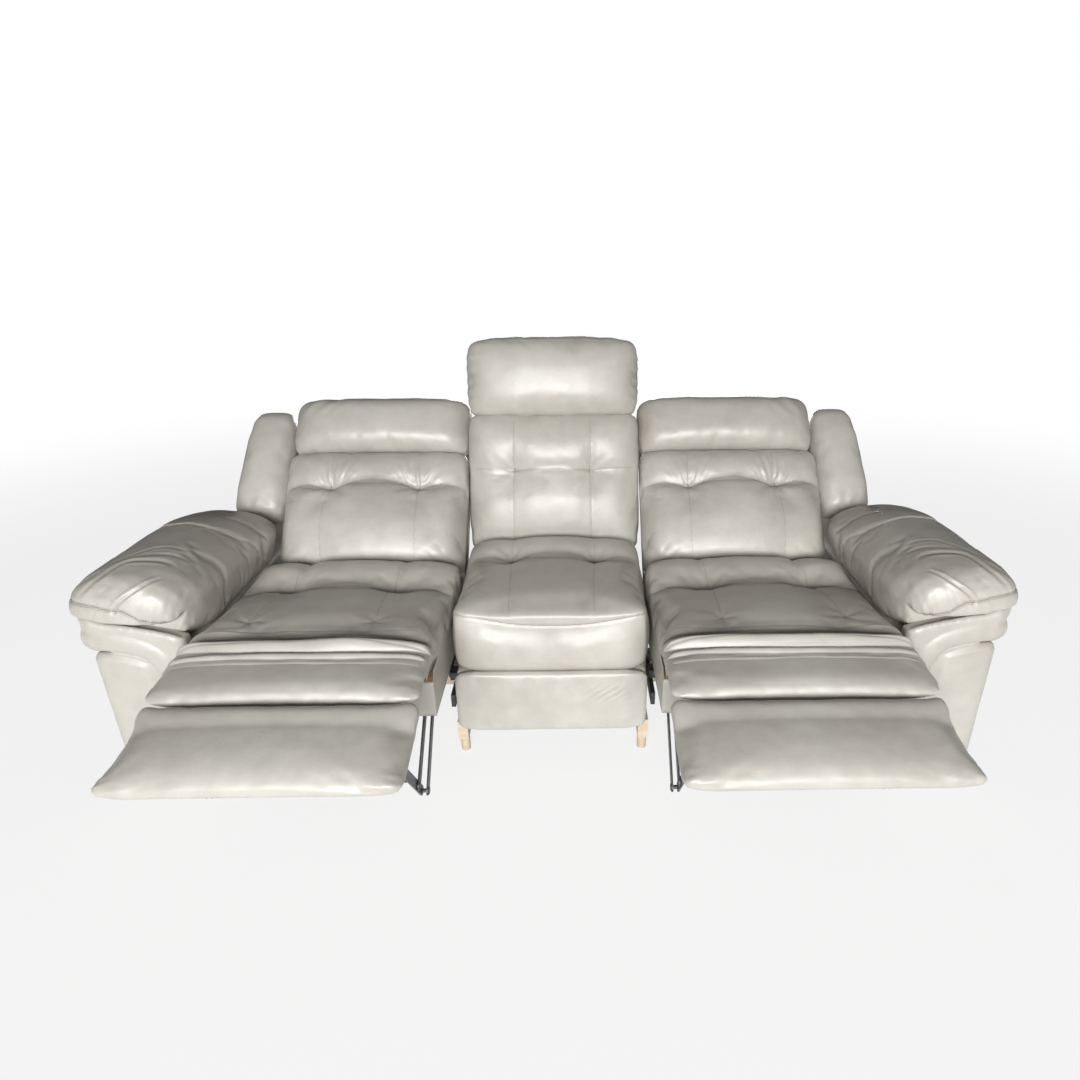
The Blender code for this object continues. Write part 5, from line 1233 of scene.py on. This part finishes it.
blocks = {
    "middle_front_panel": {"body": "base", "lean": 90, "voxel": 0.006, "fill": 0.5, "finer": True,
                           "grow": {"x": (0.006, 0.006), "b": (0, 0.016), "c": (0, 0.004)}},
    "middle_deck": {"body": "base", "lean": 0, "voxel": 0.007, "fill": 0.1},
    "middle_back_cover": {"body": "base", "lean": 75, "voxel": 0.0045, "fill": 0.3},
    "arm_body": {"body": "base", "lean": 90, "voxel": 0.009, "fill": 0.3},
    "arm_front_panel": {"body": "base", "lean": 90, "voxel": 0.006, "fill": 0.4, "finer": True, "softening": 9},
    "back_cover": {"body": "back", "lean": 53, "voxel": 0.0045, "fill": 0.3},
    "footrest_board": {"body": "footrest", "lean": 12, "voxel": 0.006, "fill": 0.2,
                       "grow": {"x": (0.010, 0.008), "b": (-0.040, 0.002), "c": (-0.014, 0.002)}},
}
blockSoftening = 3
blockWrinkles = {"amount": 0.0006, "size": 0.12}
deckTaper = {"by": 0.055, "y": (0.02, 0.14)}  # drawn in towards its front, behind the panel
panel = {"top": (0.0020, 0.93, 0.08, 34, 2),
         "crinkle": {"high": 0.0016, "at": (0.8, 0.72), "size": (0.12, 0.12), "lean": 0.5, "beats": 110},
         "broad": {"high": 0.0010, "beats": (5, 3)}}
# the moulding's edge line gets painted shade, a narrow dark band along its sunken step
moulding = {"edge": [(0.944, 0.020), (0.946, 0.140), (0.950, 0.250), (0.957, 0.322), (0.958, 0.360), (0.963, 0.386),
                     (0.979, 0.408), (1.023, 0.423), (1.075, 0.431), (1.130, 0.436)],
            "inside": 0.9575, "proud": 0.017, "half": 0.030, "flat": 0.6, "sink": 0.004, "sinkWide": 0.005,
            "cheek": 0.013, "cheekFrom": (0.002, 0.032), "mark": 0.18, "markWide": 0.004, "top": (0.36, 0.47),
            "draw": (1.098, 0.45), "innerEdge": (0.012, 0.8753, 0.030), "outerEdge": (0.008, 1.105, 0.025),
            "front": (0.2, 0.6), "uneven": (0.0006, 0.07)}


def panelDetails(form, look, seed):
    crinkle, broad, u, v = look["crinkle"], look["broad"], form["u"], form["v"]
    addGathers(form, *look["top"], seed)
    waves = np.sin((u - v * crinkle["lean"]) * crinkle["beats"])
    form["push"] += crinkle["high"] * spot(u, v, crinkle["at"], crinkle["size"]) * waves * form["facing"]
    form["push"] += broad["high"] * drift(form, *broad["beats"], seed + 2) * form["facing"]


def armFrontDetails(form, look, side, seed):  # the rolled band under the pillow and the panel let in below it
    sx = 1 if side == "right" else -1
    co = form["co"]
    x, z = co[:, 0] * sx, co[:, 2].copy()
    co[:, 2] -= np.interp(x, armPillow["hemAt"], armPillow["panelDrop"]) * smooth(z, *look["top"])
    start, share = look["draw"]
    co[:, 0] = np.where(x > start, sx * (start + (x - start) * share), co[:, 0])
    x, z = co[:, 0] * sx, co[:, 2]
    edge = dense([(px, 0, pz) for px, pz in look["edge"]])
    d = lineDistance(np.stack([x, x * 0, z], 1), edge)[0]
    edgeX, edgeZ = np.array(look["edge"]).T
    above = (z > np.interp(x, edgeX, edgeZ)) | (x < look["inside"])
    signed = np.where(above, d, -d)
    front = smooth(-form["normal"][:, 1], *look["front"])
    half = look["half"]
    roll = np.sqrt(np.clip(1 - ((signed - half) / half) ** 2, 0, 1))
    form["push"] += look["proud"] * np.where(signed > half, np.maximum(roll, look["flat"]), roll) * front
    form["push"] -= look["sink"] * np.exp(-(signed / look["sinkWide"]) ** 2) * front
    form["push"] += look["cheek"] * smooth(-signed, *look["cheekFrom"]) * front
    deep, at, wide = look["innerEdge"]
    form["push"] -= deep * np.clip(1 - (x - at) / wide, 0, 1) ** 2 * front
    deep, at, wide = look["outerEdge"]
    form["push"] -= deep * np.clip(1 - (at - x) / wide, 0, 1) ** 2 * front
    # painted shade along the moulding's edge
    paintShade(form, look["mark"] * np.exp(-(signed / look["markWide"]) ** 2) * front)
    amount, size = look["uneven"]
    form["push"] += amount * ripple(co / size, seed)


def wrap(name, side, obj, seed):
    form = openForm(obj, sided(name, side), blocks[name]["lean"], side)
    if name == "middle_front_panel":
        panelDetails(form, panel, seed)
    elif name == "middle_deck":
        form["co"][:, 0] *= 1 - deckTaper["by"] * smooth(-form["co"][:, 1], *deckTaper["y"])
    elif name == "arm_front_panel":
        armFrontDetails(form, moulding, side, seed)
    else:
        addWrinkles(form, seed=seed, **blockWrinkles)
    closeForm(form)
    settle(name, side, form, blocks[name])
    return form


for index, (name, look) in enumerate(blocks.items()):
    raw = startForm("raw_" + name, sided(name), look["voxel"], look.get("softening", blockSoftening))
    fitForm(raw, sided(name), look)
    if look.get("finer"):
        refine(raw)
    finishBoth(name, raw, wrap, index + 41, index + 51)
print("blocks covered")

# leather bands round the boxes of the outer seats

deckBand = {"high": 1.25, "frontHigh": 1.0, "frontDeep": 0.012, "corner": 0.0012, "turns": 4, "thick": 0.0007,
            "off": 0.0003, "step": 0.012, "rows": 8, "uneven": 0.0003, "grain": (0.05, 0.05, 0.03)}


def bandAround(side, look):
    box = frameOf(side + "_deck", 0)
    off, r, rows = look["off"], look["corner"], look["rows"]
    x0, x1 = box["x"][0] - off, box["x"][1] + off
    b0, b1 = box["b"][0] - off, box["b"][1] + off
    c0, tall = box["c"][0], box["c"][1] - box["c"][0]
    loop = []
    corners = ((x1 - r, b1 - r, 0), (x0 + r, b1 - r, 90), (x0 + r, b0 + r, 180), (x1 - r, b0 + r, 270))
    for cx, cb, start in corners:
        for k in range(look["turns"] + 1):
            a = math.radians(start + 90 * k / look["turns"])
            loop.append((cx + r * math.cos(a), cb + r * math.sin(a), math.cos(a), math.sin(a)))
    fine = []
    for p, q in zip(loop, loop[1:] + loop[:1]):
        count = max(1, int(math.hypot(q[0] - p[0], q[1] - p[1]) / look["step"]))
        fine += [[p[i] + (q[i] - p[i]) * k / count for i in range(4)] for k in range(count)]
    ring = np.array(fine)
    n = len(ring)
    high = np.where(ring[:, 1] < b0 + look["frontDeep"], look["frontHigh"], look["high"]) * tall
    verts, faces = [], []
    for layer in (0, 1):  # the outer face, then the inner one
        for j in range(rows + 1):
            c = c0 + high * j / rows
            uneven = look["uneven"] * ripple(np.stack([ring[:, 0], ring[:, 1], c], 1) / look["grain"])
            out = (off + look["thick"] + np.abs(uneven)) * (1 - layer)
            x = ring[:, 0] + ring[:, 2] * out
            b = ring[:, 1] + ring[:, 3] * out
            verts += [np.array([x[k], 0, 0]) + box["up"] * b[k] + box["out"] * c[k] for k in range(n)]
    inner = (rows + 1) * n
    for base, turned in ((0, False), (inner, True)):
        for j in range(rows):
            for k in range(n):
                a, b = base + j * n + k, base + j * n + (k + 1) % n
                face = (a, b, b + n, a + n)
                faces.append(face[::-1] if turned else face)
    for k in range(n):
        a, b = k, (k + 1) % n
        faces.append((b, a, a + inner, b + inner))
        a, b = rows * n + k, rows * n + (k + 1) % n
        faces.append((a, b, b + inner, a + inner))
    obj = objectFrom(side + "_deck_band", verts, faces, greyLeather)
    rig.ride(obj, side + "_seat")
    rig.slot(obj, "leather")


for side in ("left", "right"):
    bandAround(side, deckBand)
print("seat boxes banded")

# loose leather over the knee, from the seat to the flap

knee = {"inset": (0.001, 0.007), "rear": -0.262, "front": -0.410, "thick": 0.0028, "across": 190, "along": 120,
        "from": 0.7, "lowest": 0.43, "blur": 8, "drop": 0.020, "curl": 0.018,
        "tuck": {"deep": 0.0022, "over": 1.6, "rear": (0.0, 0.10), "front": (0.92, 1.0)},
        "bend": 0.006, "grow": 0.18, "bow": 0.7, "blunt": 0.8, "rollBeats": (2.6, 4.3), "lineBeats": 3.6,
        "rolls": [{"rear": -0.280, "front": -0.364, "high": 0.027, "lean": 1.9, "pinch": 0.40},
                  {"rear": -0.362, "front": -0.386, "high": 0.007, "lean": 1.4, "pinch": 0.35}],
        "lines": [(-0.318, 0.0035, 0.0030), (-0.332, 0.0030, 0.0030), (-0.346, 0.0025, 0.0028)],
        "lineLeast": 0.06, "lineEnds": (1.5, 0.5), "crinkle": (0.0011, (0.05, 0.012, 1)), "fill": 0.15,
        "blendFrom": (0, -0.300, 0.46), "blendTo": (0, -0.372, 0.46)}
closing = {"seat": {"axis": (0, 1, 0), "anchor": (0, -0.30, 0.40), "keep": 0.92},
           "flap": {"axis": (0, 0.99, 0.139), "anchor": (0, -0.33, 0.43), "keep": 0.94}}


def acrossBeat(u, beats, row, seed):  # smooth noise across a sheet, the same all along it
    flat = u.ravel()
    return ripple(np.stack([flat * beats, flat * 0 + row, flat * 0], 1), seed).reshape(u.shape)


def blurred(grid, axis, size):
    kernel = np.exp(-np.linspace(-2, 2, 2 * size + 1) ** 2)
    kernel /= kernel.sum()
    soften = lambda row: np.convolve(np.pad(row, size, mode="edge"), kernel, "valid")
    return np.apply_along_axis(soften, axis, grid)


def groundUnder(x, y, trees, look):  # the height of the seat or flap below each point of the sheet
    ground = np.full((len(x), len(y)), np.nan)
    for i, px in enumerate(x):
        for j, py in enumerate(y):
            tops = [t.ray_cast(Vector((px, py, look["from"])), Vector((0, 0, -1)))[0] for t in trees]
            tops = [p.z for p in tops if p is not None and p.z > look["lowest"]]
            if tops:
                ground[i, j] = max(tops)
        known = ~np.isnan(ground[i])
        if known.sum() > 3:
            ground[i] = np.interp(-y, -y[known], ground[i][known])
    good = ~np.isnan(ground[:, 0])
    for j in range(len(y)):
        ground[:, j] = np.interp(x, x[good], ground[good, j])
    return ground


def sheetFaces(rows, n):  # a sheet of rows by n points, its underside, and the four edges between them
    under = rows * n
    faces = []
    for i in range(rows - 1):
        for j in range(n - 1):
            a, b, c, d = i * n + j, (i + 1) * n + j, (i + 1) * n + j + 1, i * n + j + 1
            faces += [(d, c, b, a), (a + under, b + under, c + under, d + under)]
    edges = []
    for i in range(rows - 1):
        edges += [(i * n, (i + 1) * n), ((i + 2) * n - 1, (i + 1) * n - 1)]
    for j in range(n - 1):
        edges += [(j + 1, j), ((rows - 1) * n + j, (rows - 1) * n + j + 1)]
    return faces + [(a, b, b + under, a + under) for a, b in edges]


def looseLeather(side, look, seed):
    cushion, pad = finished[side + "_seat_cushion"], finished[side + "_flap_pad"]
    low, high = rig.box(side + "_seat_cushion")
    edges = cushion["co"][:, 0]
    inner, outer = look["inset"]
    less, more = (inner, outer) if side == "right" else (outer, inner)
    x = np.linspace(edges.min() + less, edges.max() - more, look["across"])
    y = np.linspace(look["rear"], look["front"], look["along"])
    ground = groundUnder(x, y, (cushion["tree"], pad["tree"]), look)
    z = blurred(np.maximum(blurred(ground, 1, look["blur"]), ground), 0, look["blur"])
    gx, gy = np.meshgrid(x, y, indexing="ij")
    u = (gx - low[0]) / (high[0] - low[0])
    if side == "left":
        u = 1 - u
    bow = np.sin(math.pi * np.clip(u, 0, 1)) ** look["bow"]
    bendBeats, growBeats = look["rollBeats"]
    for k, roll in enumerate(look["rolls"]):
        bend = look["bend"] * acrossBeat(u, bendBeats, k, seed + k)
        grow = 1 + look["grow"] * acrossBeat(u, growBeats, 3 * k, seed + 9 + k)
        size = 1 - roll["pinch"] + roll["pinch"] * bow
        middle = (roll["rear"] + roll["front"]) / 2
        along = (roll["rear"] - middle) * size - (gy - middle - bend)
        past = np.clip(along / ((roll["rear"] - roll["front"]) * size), 0, 1)
        z += roll["high"] * size * grow * np.sin(math.pi * past ** roll["lean"]) ** look["blunt"]
    steep, flat = look["lineEnds"]
    ends = np.clip(np.abs(2 * u - 1) * steep - flat, 0, 1)
    for k, (centre, width, depth) in enumerate(look["lines"]):
        bend = look["bend"] * acrossBeat(u, look["lineBeats"], 7 * k, seed + 20 + k)
        z -= depth * (look["lineLeast"] + ends) * np.exp(-((gy - centre - bend) / width) ** 2)
    crinkle, grainSize = look["crinkle"]
    places = np.stack([gx.ravel(), gy.ravel(), np.zeros(gx.size)], 1)
    z += crinkle * ripple(places / np.array(grainSize), seed + 4).reshape(gx.shape)
    t = (gy - look["rear"]) / (look["front"] - look["rear"])
    tuck = look["tuck"]
    free = smooth(t, *tuck["rear"]) * (1 - smooth(t, *tuck["front"]))
    z += tuck["deep"] * (tuck["over"] * free - 1)
    curl = np.clip(1 - np.minimum(gx - x[0], x[-1] - gx) / look["curl"], 0, 1)
    z -= look["drop"] * (1 - np.sqrt(np.clip(1 - curl ** 2, 0, 1)))
    verts = [(*place, height + lift) for lift in (0, -look["thick"])
             for place, height in zip(zip(gx.ravel(), gy.ravel()), z.ravel())]
    obj = objectFrom(side + "_knee_leather", verts, sheetFaces(len(x), len(y)), greyLeather)
    bm = bmesh.new()
    bm.from_mesh(obj.data)
    bmesh.ops.recalc_face_normals(bm, faces=bm.faces)
    bm.to_mesh(obj.data)
    bm.free()
    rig.blend(obj, side + "_seat", side + "_flap", start=look["blendFrom"], end=look["blendTo"])
    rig.slot(obj, "leather")
    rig.padded(obj, fill=look["fill"])


for side, seed in (("left", 61), ("right", 62)):
    looseLeather(side, knee, seed)
    for piece in [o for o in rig.pieces() if o.name.startswith(side + "_seat_cushion")]:
        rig.squash(piece, side + "_recline_slide", **closing["seat"])
    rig.squash(bpy.data.objects[side + "_flap_pad_leather"], side + "_recline_slide", **closing["flap"])
print("knee leather laid")

visualLow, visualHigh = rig.bounds()
with open("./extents.json", "w") as sizeFile:
    json.dump({"cad": [list(cadLow), list(cadHigh)], "visual": [list(visualLow), list(visualHigh)]}, sizeFile)
vertices = sum(len(o.data.vertices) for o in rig.pieces() if o.type == "MESH")
print("pieces", len(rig.pieces()), "vertices", vertices)
